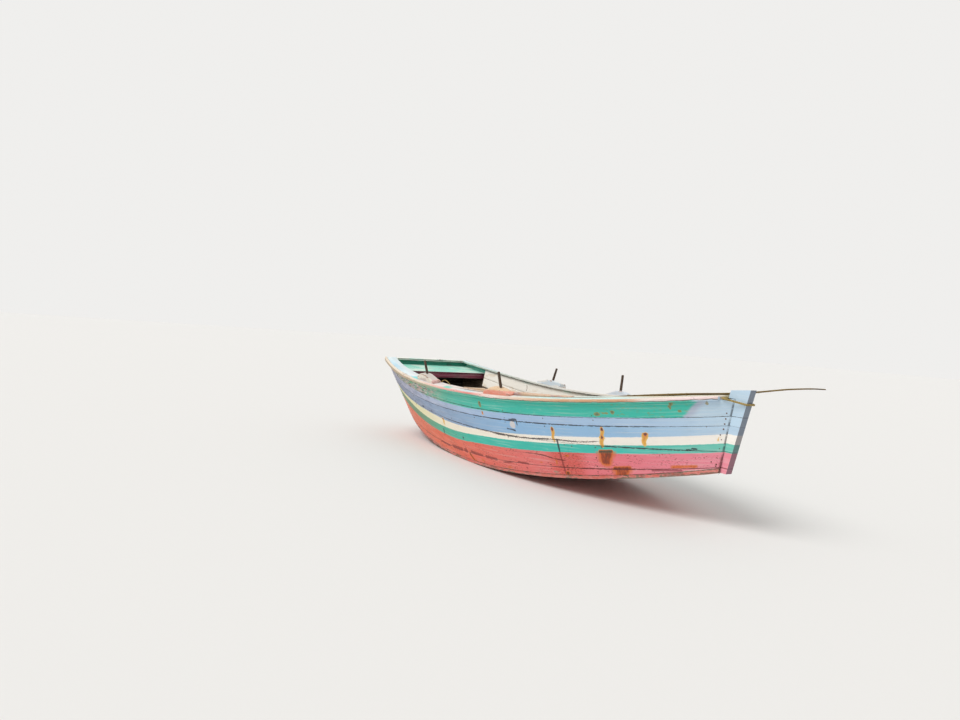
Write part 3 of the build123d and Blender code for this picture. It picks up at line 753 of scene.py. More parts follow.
@functools.cache
def grain_group() -> NodeTree:
    """Long wood grain: its shade and its height, with X along the fibres."""
    net, given, out = new_group(
        "wood_grain", {"Vector": (0.0, 0.0, 0.0), "Fineness": 1.0}, {"Shade": "Float", "Height": "Float"},
    )
    fine = net.read("ShaderNodeVectorMath", {0: given["Vector"], "Scale": given["Fineness"]}, operation="SCALE")
    broad = net.noise(fine, (1.6, 26, 26), 3.0, 0.6)
    fibres = net.noise(fine, (7, 240, 240), 3.0, 0.65, (3.1, 5.7, 1.3))
    checks = net.step(net.noise(fine, (2.2, 95, 95), 2.0, shift=(8.4, 2.2, 6.1)), 0.63, 0.7)
    shade = broad * 0.55 + fibres * 0.45
    net.feed(out["Shade"], net.math("SUBTRACT", shade, checks * 0.35, clamp=True))
    net.feed(out["Height"], fibres * 0.5 - checks * 0.8)
    return net.tree


@functools.cache
def loss_group() -> NodeTree:
    """Worn and flaked paint: where it is gone, and the dark rim round each place, with X along the boards."""
    inputs = {"Vector": (0.0, 0.0, 0.0), "Edge": 0.0, "Amount": 0.3}
    net, given, out = new_group("paint_loss", inputs, {"Loss": "Float", "Rim": "Float", "Thin": "Float"})
    flakes = net.noise(given["Vector"], (9, 34, 34), 5.0, 0.62)
    chips = net.noise(given["Vector"], (38, 85, 85), 3.0, 0.6, (4.2, 9.1, 2.7))
    patches = net.noise(given["Vector"], (1.7, 3.5, 3.5), 2.0, shift=(1.9, 6.6, 3.8))
    level = flakes * 0.55 + chips * 0.25
    level = level + patches * 0.2
    level = level + given["Edge"] * 0.17
    level = level + given["Amount"] * 0.3
    net.feed(out["Loss"], net.step(level, 0.695, 0.715))
    net.feed(out["Rim"], net.math("SUBTRACT", net.step(level, 0.675, 0.7), net.step(level, 0.70, 0.725), clamp=True))
    net.feed(out["Thin"], net.step(level, 0.55, 0.70))
    return net.tree


@functools.cache
def rust_group() -> NodeTree:
    """Rust that bleeds from a nail: its colour and how far it covers the paint."""
    inputs = {"Vector": (0.0, 0.0, 0.0), "Field": 0.0, "Low": 0.0}
    net, given, out = new_group("rust_bleed", inputs, {"Tint": "Color", "Cover": "Float"})
    torn = net.noise(given["Vector"], (60, 22, 22), 4.0, 0.6)
    level = given["Field"] + (torn - 0.5) * 0.6
    crisp, faint = net.step(level, 0.1, 0.34), net.step(level, 0.05, 0.75)
    soft = net.fused(faint - crisp, given["Low"], crisp)
    net.feed(out["Cover"], soft * net.step(given["Field"], 0.0, 0.08))
    stops = (
        (0, (238, 198, 104)), (0.4, (234, 178, 56)), (0.56, (222, 150, 28)), (0.68, (214, 104, 30)),
        (0.84, (150, 62, 16)), (0.94, (104, 58, 24)), (1, (74, 56, 36)),
    )
    redder = net.math("MAXIMUM", level, given["Low"] * 0.66)
    net.feed(out["Tint"], net.ramp(redder, stops))
    return net.tree


@functools.cache
def dust_group() -> NodeTree:
    """Blown sand and grime: thin on upright faces, thicker on faces that look up."""
    inputs = {"Vector": (0.0, 0.0, 0.0), "Amount": 0.3}
    net, given, out = new_group("sand_dust", inputs, {"Sand": "Float", "Grime": "Float"})
    level = net.parts(net.read("ShaderNodeNewGeometry", output="Normal"))[2]
    cloud = net.noise(given["Vector"], (11, 11, 11), 4.0, 0.6)
    speck = net.step(net.noise(given["Vector"], (160, 160, 160), 2.0), 0.62, 0.72)
    lying = net.step(level, 0.35, 0.95) * net.step(cloud, 0.42, 0.75)
    sand = lying * 0.5 + speck * lying * 0.5
    net.feed(out["Sand"], net.math("MULTIPLY", sand, given["Amount"], clamp=True))
    smear = net.noise(given["Vector"], (5, 5, 16), 4.0, 0.65, (2.6, 1.2, 7.9))
    net.feed(out["Grime"], net.math("MULTIPLY", net.step(smear, 0.48, 0.78), given["Amount"], clamp=True))
    return net.tree


@functools.cache
def line_group() -> NodeTree:
    """A thin broken line down the side at a given depth: its mask and the flaking near it."""
    inputs = {"Vector": (0.0, 0.0, 0.0), "Depth": 0.0, "Line": 0.0, "Thick": 0.5}
    net, given, out = new_group("fine_line", inputs, {"Mask": "Float", "Near": "Float"})
    wander = (net.noise(given["Vector"], (26, 0, 0), 3.0, 0.6) - 0.5) * 0.009
    away = net.math("ABSOLUTE", given["Depth"] + wander - given["Line"])
    off = away * 0.6
    breaks = net.step(net.noise(given["Vector"], (17, 6, 0), 4.0, 0.7, (5, 2, 0)), 0.40, 0.52, 0.25, 1.0)
    thick = net.fused(given["Thick"] * breaks, 0.008, 0.00001)
    mask = net.math("SUBTRACT", 1.0, net.step(off, thick * 0.35, thick), clamp=True)
    net.feed(out["Mask"], mask * net.step(given["Thick"], 0.0, 0.12))
    flakes = net.noise(given["Vector"], (85, 150, 0), 4.0, 0.65)
    close = flakes - off * 14.0
    net.feed(out["Near"], net.step(close, 0.42, 0.47) * net.step(given["Thick"], 0.2, 0.8))
    return net.tree


@functools.cache
def bands_group() -> NodeTree:
    """Edges of the painted bands: how far each place is below the four lines between them."""
    inputs = {"Share": 0.0, "Depth": 0.0}
    names = {"Blue": "Float", "White": "Float", "Teal": "Float", "Red": "Float"}
    net, given, out = new_group("band_edges", inputs, names)
    for name, line in BAND_LINES.items():
        edge = net.curve(given["Share"], line)
        net.feed(out[name], net.step(given["Depth"] - edge, -0.004, 0.004))
    return net.tree


BAND_LINES = {
    "Blue": [(0, 0.128), (0.09, 0.14), (0.38, 0.19), (0.82, 0.192), (0.93, 0.215), (1, 0.232)],
    "White": [
        (0, 0.40), (0.09, 0.415), (0.29, 0.445), (0.40, 0.48), (0.53, 0.47), (0.64, 0.452), (0.82, 0.45), (1, 0.47),
    ],
    "Teal": [
        (0, 0.46), (0.095, 0.475), (0.27, 0.565), (0.40, 0.585), (0.51, 0.56), (0.64, 0.545), (0.78, 0.547),
        (0.93, 0.575), (1, 0.597),
    ],
    "Red": [
        (0, 0.605), (0.095, 0.625), (0.27, 0.685), (0.40, 0.705), (0.51, 0.675), (0.64, 0.66), (0.82, 0.663),
        (0.93, 0.69), (1, 0.718),
    ],
}


# Thickness of the visible line at the four seams by the share of the length, 1 for 8 mm.
SEAM_LINES = (
    [(0, 0.15), (0.3, 0.2), (0.45, 0.5), (0.66, 0.6), (0.74, 0.3), (0.9, 0.35), (1, 0.4)],
    [
        (0, 0.2), (0.3, 0.4), (0.5, 0.7), (0.62, 0.95), (0.78, 0.9), (0.89, 0.7), (0.915, 0.3), (0.975, 0.25),
        (1, 0.15),
    ],
    [
        (0, 0.25), (0.36, 0.5), (0.46, 0.85), (0.62, 0.8), (0.67, 0.2), (0.8, 0.2), (0.83, 0.95), (0.92, 0.9),
        (0.96, 0.55), (1, 0.3),
    ],
    [(0, 0.3), (0.3, 0.5), (0.6, 0.25), (0.71, 0.3), (0.74, 0.95), (0.85, 0.9), (0.9, 0.6), (1, 0.5)],
)
# The splits in the planks: each one's share of the depth, then its thickness.
SPLITS = (
    ([(0, 0.49), (0.58, 0.491), (0.66, 0.497), (0.72, 0.492), (0.78, 0.512), (0.82, 0.50), (1, 0.50)],
     [(0, 0), (0.55, 0), (0.585, 0.95), (0.66, 1), (0.74, 0.75), (0.8, 0.6), (0.825, 0), (1, 0)]),
    ([(0, 0.70), (0.6, 0.70), (0.68, 0.705), (0.72, 0.75), (0.8, 0.80), (1, 0.80)],
     [(0, 0), (0.58, 0), (0.66, 0.6), (0.73, 0.8), (0.745, 0), (1, 0)]),
)


# ---- finishes


class Finish:
    """A material in the making, with its shader and its coordinates."""

    def __init__(self, name: str) -> None:
        """Start a material with one Principled shader."""
        self.material = bpy.data.materials.new(name)
        self.material.use_nodes = True
        self.material.node_tree.nodes.clear()
        self.net = Net(self.material.node_tree)
        self.shader = self.net.node("ShaderNodeBsdfPrincipled")
        self.net.node("ShaderNodeOutputMaterial", {"Surface": self.shader.outputs[0]})

    def place(self) -> Value:
        """Object coordinates."""
        return self.net.read("ShaderNodeTexCoord", output="Object")

    def field(self, name: str, output: str = "Fac") -> Value:
        """A named attribute of the piece."""
        return self.net.read("ShaderNodeAttribute", None, output, attribute_name=name)

    def chart(self, name: str) -> Value:
        """One of the piece's own coordinate maps."""
        return self.net.read("ShaderNodeUVMap", uv_map=name)

    def turned(self, grain: "Grain") -> Value:
        """Object coordinates with X along the fibres."""
        axes = self.net.parts(self.place())
        inputs = {i: axes[axis] for i, axis in enumerate(grain.value)}
        return self.net.read("ShaderNodeCombineXYZ", inputs)

    def weathered(
            self, colour: object, vector: object, under: Stops, loss: float, dust: float, rough: float
    ) -> Material:
        """Streak, flake and dust a board's paint.

        Args:
            colour: Colour of the fresh paint.
            vector: Coordinates with X along the fibres.
            under: Tones of the wood below.
            loss: How much of the paint has gone.
            dust: How much sand and grime lies on it.
            rough: Roughness of the paint.

        Returns:
            The finished material.
        """
        net = self.net
        streak = net.noise(vector, (2.5, 70, 70), 4.0, 0.6)
        cloud = net.noise(vector, (3.7, 11, 11), 4.0, 0.62, (6.1, 3.4, 0.8))
        colour = net.glaze(net.step(streak, 0.45, 0.8, 0, 0.35), colour, paint(240, 236, 230), 0.6)
        colour = net.glaze(net.step(cloud, 0.5, 0.82, 0, 0.28), colour, paint(92, 92, 92))
        worn = net.group(loss_group(), vector=vector, edge=self.field("edge") * 0.6, amount=loss)
        grain = net.group(grain_group(), vector=vector, fineness=1.0)
        colour = net.glaze(worn["Thin"] * 0.3, colour, paint(236, 230, 220))
        colour = net.mix(worn["Loss"], colour, net.ramp(grain["Shade"], under))
        colour = net.mix(worn["Rim"] * 0.45, colour, paint(88, 78, 72))
        lying = net.group(dust_group(), vector=self.place(), amount=dust)
        colour = net.glaze(lying["Grime"] * 0.45, colour, paint(110, 100, 84))
        colour = net.mix(lying["Sand"] * 0.8, colour, paint(208, 188, 154))
        height = grain["Height"] * 0.6 - worn["Loss"] * 0.8
        height = net.fused(streak, 0.4, height)
        gloss = worn["Loss"] * 0.3 + net.step(cloud, 0.3, 0.8, rough - 0.08, rough + 0.1)
        return self.dress(colour, gloss, height, 0.0009, Specular_IOR_Level=0.4)

    def dress(self, colour: object, rough: object, height: object, depth: float, **plain: object) -> Material:
        """Feed the shader.

        Args:
            colour: Base colour.
            rough: Roughness.
            height: Height for the bump, or none.
            depth: Depth of the bump in metres.
            plain: Plain values by the shader's socket names, underscores for blanks.

        Returns:
            The finished material.
        """
        self.net.feed(self.shader.inputs["Base Color"], colour)
        self.net.feed(self.shader.inputs["Roughness"], rough)
        if height is not None:
            bump = self.net.node("ShaderNodeBump", {"Strength": 1.0, "Distance": depth, "Height": height})
            self.net.feed(self.shader.inputs["Normal"], bump.outputs[0])
        for key, value in plain.items():
            self.net.feed(self.shader.inputs[key.replace("_", " ")], value)
        return self.material


BARE = ((0.0, (70, 58, 48)), (0.4, (122, 102, 84)), (0.75, (160, 140, 118)), (1.0, (188, 170, 146)))


@dataclass
class SideCoat:
    """The sides' paint in the making, layer over layer, with the values that its layers share."""

    finish: Finish
    share: Value
    depth: Value
    metres: Value
    ragged: Value
    bands: dict[str, Value]
    colour: Value

    def lay(self, cover: object, tint: object) -> None:
        """Cover the paint with another colour."""
        self.colour = self.finish.net.mix(cover, self.colour, tint)

    def glaze(self, cover: object, tint: object) -> None:
        """Turn the paint half way towards another colour."""
        self.colour = self.finish.net.glaze(cover, self.colour, tint)

    def fade(self) -> tuple[Value, Value]:
        """Streak and dull the paint, roughen the red and pit the aft end.

        Returns:
            The streaks and the clouds.
        """
        net, share, metres, red = self.finish.net, self.share, self.metres, self.bands["Red"]
        streak = net.noise(metres, (2.1, 75, 0), 4.0, 0.6)
        cloud = net.noise(metres, (4.5, 13, 0), 4.0, 0.6, (7, 3, 0))
        self.lay(net.step(streak, 0.48, 0.8, 0, 0.30), paint(240, 236, 230))
        self.glaze(net.step(cloud, 0.5, 0.8, 0, 0.22), paint(96, 104, 110))
        grit = net.step(net.noise(metres, (55, 95, 0), 5.0, 0.75, (3, 9, 0)), 0.54, 0.60)
        patches = net.step(net.noise(metres, (6, 17, 0), 3.0, shift=(1, 6, 0)), 0.42, 0.58, 0, 0.9)
        butt = net.step(net.math("ABSOLUTE", share - 0.742), 0.05, 0.02)
        self.lay(butt * (red * 0.6), paint(216, 80, 56))
        grit = grit * (net.math("MAXIMUM", patches, butt) * red)
        self.lay(grit * 0.85, paint(136, 48, 34))
        pits = net.step(net.noise(metres, (190, 260, 0), 3.0, 0.6), 0.60, 0.66)
        self.glaze(pits * net.step(share, 0.6, 0.15, 0.10, 0.75), paint(70, 70, 84))
        return streak, cloud

    def wear(self, bare: Value, loss: float) -> tuple[Value, Value]:
        """Flake the paint off the wood and scrape it.

        Args:
            bare: Where the marks ask for bare wood.
            loss: How much of the paint has gone elsewhere.

        Returns:
            Where the paint has gone, and the height of the wood's grain.
        """
        net, share = self.finish.net, self.share
        amount = net.fused(bare, 0.55, net.step(share, 0.35, 0.05, loss, loss + 0.12))
        amount = amount + self.bands["Red"] * net.step(share, 0.9, 0.45, 0.0, 0.05)
        edge = self.finish.field("edge") * 0.5
        worn = net.group(loss_group(), vector=self.metres, edge=edge, amount=amount)
        grain = net.group(grain_group(), vector=self.metres, fineness=1.0)
        low = net.step(self.depth, 0.4, 0.8, 0.1, 0.65)
        wood = net.mix(low, net.ramp(grain["Shade"], BARE), paint(222, 176, 150))
        self.glaze(worn["Thin"] * 0.25, paint(240, 236, 228))
        self.lay(worn["Loss"], wood)
        self.lay(worn["Rim"] * 0.45, paint(92, 80, 76))
        scrape = net.step(net.fused(self.ragged, 0.7, self.finish.field("marks", "Alpha")), 0.3, 0.6)
        self.lay(scrape * 0.75, paint(232, 218, 208))
        return worn["Loss"], grain["Height"]

    def split(self, torn: Value, rust: Value) -> tuple[Value, Value]:
        """Open the seams, splits and gouges, and let the nails' rust run between them.

        Args:
            torn: Where the marks ask for gouges.
            rust: Where they ask for rust.

        Returns:
            The mask of the lines and the mask of the gouges.
        """
        net, bands = self.finish.net, self.bands
        dark, near = SidePaint.lines(net, self.share, self.depth, self.metres)
        rabbet = net.step(net.noise(self.metres, (0, 16, 0), 3.0, 0.6), 0.40, 0.52, 0.15, 0.8)
        dark = net.math("MAXIMUM", dark, rabbet * net.step(self.share, 0.9972, 0.9986))
        chips = near * (bands["White"] - bands["Teal"] * 0.5)
        self.lay(chips * 0.75, paint(150, 112, 84))
        gouge = net.step(net.fused(self.ragged, 0.9, torn), 0.24, 0.5) * net.step(torn, 0.0, 0.08)
        pitch = net.mix(bands["Red"], paint(40, 42, 54), paint(112, 34, 34))
        self.lay(gouge * net.step(bands["Red"], 0.0, 1.0, 0.85, 0.6), pitch)
        self.rust(rust)
        self.lay(dark * 0.88, pitch)
        return dark, gouge

    def rust(self, field: Value) -> None:
        """Let rust bleed over the paint, olive where it runs over the sheer strake's teal."""
        net, blue = self.finish.net, self.bands["Blue"]
        low = net.step(self.depth, 0.575, 0.61)
        bleed = net.group(rust_group(), vector=self.metres, field=field, low=low)
        tint = net.mix((1.0 - blue) * 0.65, bleed["Tint"], paint(84, 104, 58))
        self.lay(bleed["Cover"] * net.step(blue, 0, 1, 0.75, 0.92), tint)

    def dust(self, grime: float) -> None:
        """Lay blown sand and dirt over the paint, then the grey-violet painted shade."""
        lying = self.finish.net.group(dust_group(), vector=self.finish.place(), amount=0.3)
        self.glaze(lying["Grime"] * 0.5, paint(120, 112, 96))
        self.lay(lying["Sand"] * 0.7, paint(206, 186, 152))
        # Painted shade: the whole face is turned grey-violet by this amount, as if it were in shade.
        self.lay(grime, paint(84, 82, 98))


@dataclass(frozen=True)
class SidePaint:
    """The five painted bands of the sides, with their marks, worn edges and flaking."""

    name: str = "side_paint"
    loss: float = 0.03
    # Amount of grey-violet painted shade laid over the paint; only the stem's forward faces have it.
    grime: float = 0.0

    def material(self) -> Material:
        """Build the material."""
        finish = Finish(self.name)
        net = finish.net
        share, depth, _ = net.parts(finish.chart("bands"))
        metres = net.scaled(finish.chart("metres"), (1, 1, 0))
        waver = net.noise(metres, (2.4, 1.5, 0), 2.0)
        ragged = net.noise(metres, (38, 30, 0), 3.0) - 0.5
        wave = net.fused(waver - 0.5, 0.012, depth)
        wave = net.fused(ragged, net.step(share, 0.4, 0.0, 0.012, 0.03), wave)
        bands = net.group(bands_group(), share=share, depth=wave)
        coat = SideCoat(finish, share, depth, metres, ragged, bands, self.bands(net, share, wave, metres, bands))
        streak, cloud = coat.fade()
        marks = net.named(net.node("ShaderNodeSeparateColor", {0: finish.field("marks", "Color")}).outputs)
        rust, bare, torn = marks.values()
        lost, grain = coat.wear(bare, self.loss)
        dark, gouge = coat.split(torn, rust)
        coat.dust(self.grime)
        height = grain * 0.4 - lost * 0.8
        height = height - net.math("MAXIMUM", dark, gouge) * 1.4
        height = net.fused(streak, 0.5, height)
        rough = lost * 0.28 + net.step(cloud, 0.3, 0.8, 0.48, 0.66)
        return finish.dress(coat.colour, rough, height, 0.0009, Specular_IOR_Level=0.4)

    @staticmethod
    def seam(net: Net, share: Value, index: int) -> Value:
        """Share of the depth where a seam runs."""
        start, change, sweep = SEAMS[index]
        bend = net.math("POWER", share, 6.0) * sweep
        return net.fused(share, change, start) + bend

    @staticmethod
    def lines(net: Net, share: Value, depth: Value, metres: Value) -> tuple[Value, Value]:
        """Dark lines of the open seams and splits.

        Args:
            net: Net of the material.
            share: Share of the boat's length.
            depth: Share of the side's depth.
            metres: Coordinates along and down the planks.

        Returns:
            The mask of the lines and the mask of the flaking beside them.
        """
        paths = [(SidePaint.seam(net, share, i + 1), thick) for i, thick in enumerate(SEAM_LINES)]
        paths += [(net.curve(share, line), thick) for line, thick in SPLITS]
        mask = near = None
        for line, thick in paths:
            out = net.group(line_group(), vector=metres, depth=depth, line=line, thick=net.curve(share, thick))
            mask = out["Mask"] if mask is None else net.math("MAXIMUM", mask, out["Mask"])
            near = out["Near"] if near is None else net.math("MAXIMUM", near, out["Near"])
        return mask, near

    @staticmethod
    def bands(net: Net, share: Value, depth: Value, metres: Value, bands: dict[str, Value]) -> Value:
        """Colour of the paint before any wear.

        Args:
            net: Net of the material.
            share: Share of the boat's length.
            depth: Share of the side's depth, with the brush's waver.
            metres: Coordinates along and down the planks.
            bands: How far each place is below the bands' edges, by their names.

        Returns:
            The colour.
        """
        ramps = {name: net.ramp(share, stops) for name, stops in BAND_PAINTS.items()}
        mottle = net.noise(metres, (7, 24, 0), 5.0, 0.65, (1.7, 4.4, 0))
        below = net.step(depth - SidePaint.seam(net, share, 2), -0.004, 0.004)
        blue = net.mix(below, ramps["Sky"], ramps["Blue"])
        denim = net.step(mottle, 0.42, 0.66) * net.step(share, 0.62, 0.15, 0.0, 0.65)
        ramps["Blue"] = net.mix(denim, blue, paint(112, 126, 156))
        sheer = ramps["Sheer"]
        aft = net.step(share, 0.42, 0.26, 0.0, 0.95)
        for scale, shift, start, chip in SHEER_STREAKS:
            streaks = net.step(net.noise(metres, (*scale, 0), 4.0, 0.65, (shift, 8.1, 0)), start - 0.03, start + 0.04)
            sheer = net.mix(streaks * aft, sheer, paint(*chip))
        moss = net.step(net.noise(metres, (24, 60, 0), 4.0, 0.7, (6.3, 1.1, 0)), 0.56, 0.64)
        sheer = net.mix(moss * net.step(share, 0.78, 0.86, 0.0, 0.7), sheer, paint(128, 150, 84))
        slant = share + depth * 0.08
        slant = net.fused(mottle - 0.5, 0.010, slant)
        colour = net.mix(
            net.step(slant, 0.9525, 0.9595), sheer,
            net.mix(net.step(slant, 0.960, 0.974), paint(180, 190, 210), paint(192, 216, 234)),
        )
        for name in BAND_LINES:
            colour = net.mix(bands[name], colour, ramps[name])
        return colour


BAND_PAINTS = {
    "Sheer": [
        (0, (112, 108, 122)), (0.1, (116, 130, 120)), (0.18, (104, 172, 124)), (0.3, (100, 186, 146)),
        (0.42, (86, 190, 168)), (0.55, (62, 194, 174)), (1, (66, 196, 176)),
    ],
    "Sky": [
        (0, (160, 158, 178)), (0.2, (178, 182, 206)), (0.4, (178, 196, 224)), (0.6, (164, 194, 228)),
        (0.9, (178, 206, 234)), (1, (196, 220, 238)),
    ],
    "Blue": [
        (0, (140, 142, 164)), (0.2, (144, 158, 186)), (0.45, (148, 176, 208)), (0.62, (146, 188, 226)),
        (0.85, (156, 196, 230)), (1, (190, 214, 234)),
    ],
    "White": [
        (0, (236, 230, 166)), (0.25, (240, 234, 190)), (0.4, (250, 240, 220)), (0.7, (254, 248, 236)),
        (1, (252, 246, 238)),
    ],
    "Teal": [
        (0, (118, 146, 104)), (0.2, (108, 150, 112)), (0.34, (84, 180, 150)), (0.5, (58, 194, 174)),
        (0.85, (66, 198, 184)), (1, (112, 202, 184)),
    ],
    "Red": [
        (0, (236, 122, 84)), (0.3, (234, 116, 86)), (0.5, (232, 112, 94)), (0.7, (234, 122, 120)),
        (0.85, (238, 126, 138)), (1, (238, 142, 158)),
    ],
}


# Streaks on the aft end of the sheer strake: their scale, shift, threshold and colour.
SHEER_STREAKS = (
    ((9, 13), 3.3, 0.47, (170, 166, 168)), ((11, 70), 5.1, 0.54, (214, 206, 196)),
    ((13, 60), 7.9, 0.54, (70, 92, 84)), ((8, 38), 1.2, 0.57, (206, 150, 140)),
)


class Grain(Enum):
    """Which way a piece's fibres run, as the order of the axes with the fibres first."""

    ALONG = (0, 1, 2)
    ACROSS = (1, 0, 2)
    UPRIGHT = (2, 1, 0)


@dataclass(frozen=True)
class WornPaint:
    """Brushed paint on a board, worn through to the wood at its edges.

    Beyond a plane, given by its direction and distance, it may have another colour.
    """

    name: str
    tone: Colour
    under: Stops = BARE
    second: Optional[Colour] = None
    second_share: float = 0.5
    beyond: tuple[Plane, ...] = ()
    loss: float = 0.25
    dust: float = 0.5
    grain: Grain = Grain.ALONG
    rough: float = 0.55

    def material(self) -> Material:
        """Build the material."""
        finish = Finish(self.name)
        net = finish.net
        turned = finish.turned(self.grain)
        cloud = net.noise(turned, (3.2, 9, 9), 4.0, 0.62, (2.2, 0.7, 5.5))
        colour = net.mix(0.0, self.tone, self.tone)
        if self.second:
            cover = net.step(cloud, 0.62 - 0.25 * self.second_share, 0.68 - 0.22 * self.second_share)
            colour = net.mix(cover, colour, self.second)
        for way, reach, other in self.beyond:
            past = net.read("ShaderNodeVectorMath", {0: finish.place(), 1: way}, "Value", operation="DOT_PRODUCT")
            colour = net.mix(net.step(past, reach - 0.003, reach + 0.003), colour, other)
        return finish.weathered(colour, turned, self.under, self.loss, self.dust, self.rough)


@dataclass(frozen=True)
class RailPaint:
    """Paint of a cap or a rubbing strake, laid out in zones round its section and along the boat.

    Each zone starts at a distance round the section, as a share of the outer face's height there, and has its
    colours by the share of the boat's length.
    """

    name: str
    zones: Sequence[tuple[float, Stops]]
    height: tuple[float, float] = (1.0, 0.0)
    blur: float = 0.004
    loss: float = 0.12
    dust: float = 0.4

    def material(self) -> Material:
        """Build the material."""
        finish = Finish(self.name)
        net = finish.net
        share = net.parts(finish.chart("bands"))[0]
        metres = finish.chart("metres")
        around = net.math("DIVIDE", net.parts(metres)[1], net.fused(share, self.height[1], self.height[0]))
        cloud = net.noise(metres, (11, 26, 0), 4.0, 0.6) - 0.5
        around = net.fused(cloud, 6 * self.blur, around)
        shifted = net.fused(cloud, 0.035, share)
        colour = None
        for start, stops in self.zones:
            zone = net.ramp(shifted, stops)
            if colour is not None:
                zone = net.mix(net.step(around, start - self.blur, start + self.blur), colour, zone)
            colour = zone
        return finish.weathered(colour, net.scaled(metres, (1, 1, 0)), RUB_UNDER, self.loss, self.dust, 0.55)


@dataclass(frozen=True)
class BareTimber:
    """Weathered wood with no paint: grain, checks, grime in the hollows and blown sand."""

    name: str
    tones: Stops = BARE
    grain: Grain = Grain.ALONG
    dust: float = 0.4
    stain: Colour = (0.05, 0.04, 0.03)
    fineness: float = 1.0

    def material(self) -> Material:
        """Build the material."""
        finish = Finish(self.name)
        net = finish.net
        turned = finish.turned(self.grain)
        grain = net.group(grain_group(), vector=turned, fineness=self.fineness)
        colour = net.ramp(grain["Shade"], self.tones)
        cloud = net.noise(turned, (2.8, 8, 8), 4.0, 0.6)
        colour = net.glaze(net.step(cloud, 0.45, 0.75, 0, 0.6), colour, self.stain, 0.6)
        colour = net.glaze(finish.field("edge") * 0.25, colour, paint(196, 178, 150))
        dust = net.group(dust_group(), vector=finish.place(), amount=self.dust)
        colour = net.glaze(dust["Grime"] * 0.5, colour, paint(84, 72, 58), 0.6)
        colour = net.mix(dust["Sand"] * 0.85, colour, paint(206, 186, 152))
        rough = net.step(grain["Shade"], 0.2, 0.8, 0.88, 0.7)
        return finish.dress(colour, rough, grain["Height"], 0.0012, Specular_IOR_Level=0.3)


@dataclass(frozen=True)
class RustyIron:
    """Iron nail heads and wire, brown with orange blooms."""

    name: str = "rusty_iron"

    def material(self) -> Material:
        """Build the material."""
        finish = Finish(self.name)
        net = finish.net
        bloom = net.noise(finish.place(), 320.0, 4.0, 0.6)
        stops = [(0.25, (58, 40, 34)), (0.5, (104, 64, 42)), (0.75, (150, 96, 56))]
        return finish.dress(
            net.ramp(bloom, stops), net.step(bloom, 0.3, 0.7, 0.55, 0.85), bloom, 0.0004, Metallic=0.3,
        )


@dataclass(frozen=True)
class SeamCaulk:
    """Dark pitch in the seams, cracked and dusty."""

    name: str = "seam_caulk"

    def material(self) -> Material:
        """Build the material."""
        finish = Finish(self.name)
        net = finish.net
        lumps = net.noise(finish.place(), 90.0, 4.0, 0.6)
        stops = [(0.3, (34, 34, 42)), (0.55, (58, 58, 70)), (0.8, (120, 112, 104))]
        return finish.dress(net.ramp(lumps, stops), 0.8, lumps, 0.0012)


@dataclass(frozen=True)
class RopeFibre:
    """Weathered rope yarns, tufted, with olive patches."""

    name: str = "rope_fibre"

    def material(self) -> Material:
        """Build the material."""
        finish = Finish(self.name)
        net = finish.net
        place = finish.place()
        tuft = net.noise(place, 260.0, 4.0, 0.65)
        cloud = net.noise(place, 26.0, 3.0)
        colour = net.ramp(tuft, [(0.25, (112, 92, 56)), (0.5, (170, 146, 92)), (0.8, (206, 186, 132))])
        colour = net.mix(net.step(cloud, 0.45, 0.7, 0, 0.5), colour, paint(110, 104, 66))
        return finish.dress(colour, 0.92, tuft, 0.0009, Specular_IOR_Level=0.15)


@dataclass(frozen=True)
class PlainFloor:
    """Pale even floor."""

    name: str = "plain_floor"
    tone: Colour = (0.78, 0.77, 0.75)

    def material(self) -> Material:
        """Build the material."""
        finish = Finish(self.name)
        return finish.dress(self.tone, 0.9, None, 0.0)


def clothe(item: Object, *materials: Material) -> None:
    """Put materials on a piece's slots."""
    item.data.materials.clear()
    for material in materials:
        item.data.materials.append(material)


def split_faces(item: Object, choose: Callable[[MeshPolygon], int]) -> None:
    """Give each face the material that a rule chooses."""
    for face in item.data.polygons:
        face.material_index = int(choose(face))


QUARTER_PAINT = WornPaint(
    "quarter_inside_paint", paint(132, 208, 188), second=paint(196, 222, 208), loss=0.05, dust=0.3,
)


# ---- geometry node trees


class Growth:
    """A geometry tree in the making, ending in real meshes with one material."""

    def __init__(self, name: str, sizes: dict[str, float]) -> None:
        """Start a tree with a named input for each size, and one for the material."""
        self.tree = bpy.data.node_groups.new(name, "GeometryNodeTree")
        face = self.tree.interface
        face.new_socket("Geometry", in_out="INPUT", socket_type="NodeSocketGeometry")
        for label, value in sizes.items():
            face.new_socket(label, in_out="INPUT", socket_type="NodeSocketFloat").default_value = value
        face.new_socket("Material", in_out="INPUT", socket_type="NodeSocketMaterial")
        face.new_socket("Geometry", in_out="OUTPUT", socket_type="NodeSocketGeometry")
        self.net = Net(self.tree)
        self.given = self.net.named(self.net.node("NodeGroupInput").outputs)

    def close(self, geometry: object) -> NodeTree:
        """Realize what was made, give it the material and end the tree."""
        real = self.net.read("GeometryNodeRealizeInstances", {0: geometry})
        inputs = {"Geometry": real, "Material": self.given["Material"]}
        dressed = self.net.read("GeometryNodeSetMaterial", inputs)
        self.net.node("NodeGroupOutput", {0: dressed})
        return self.tree


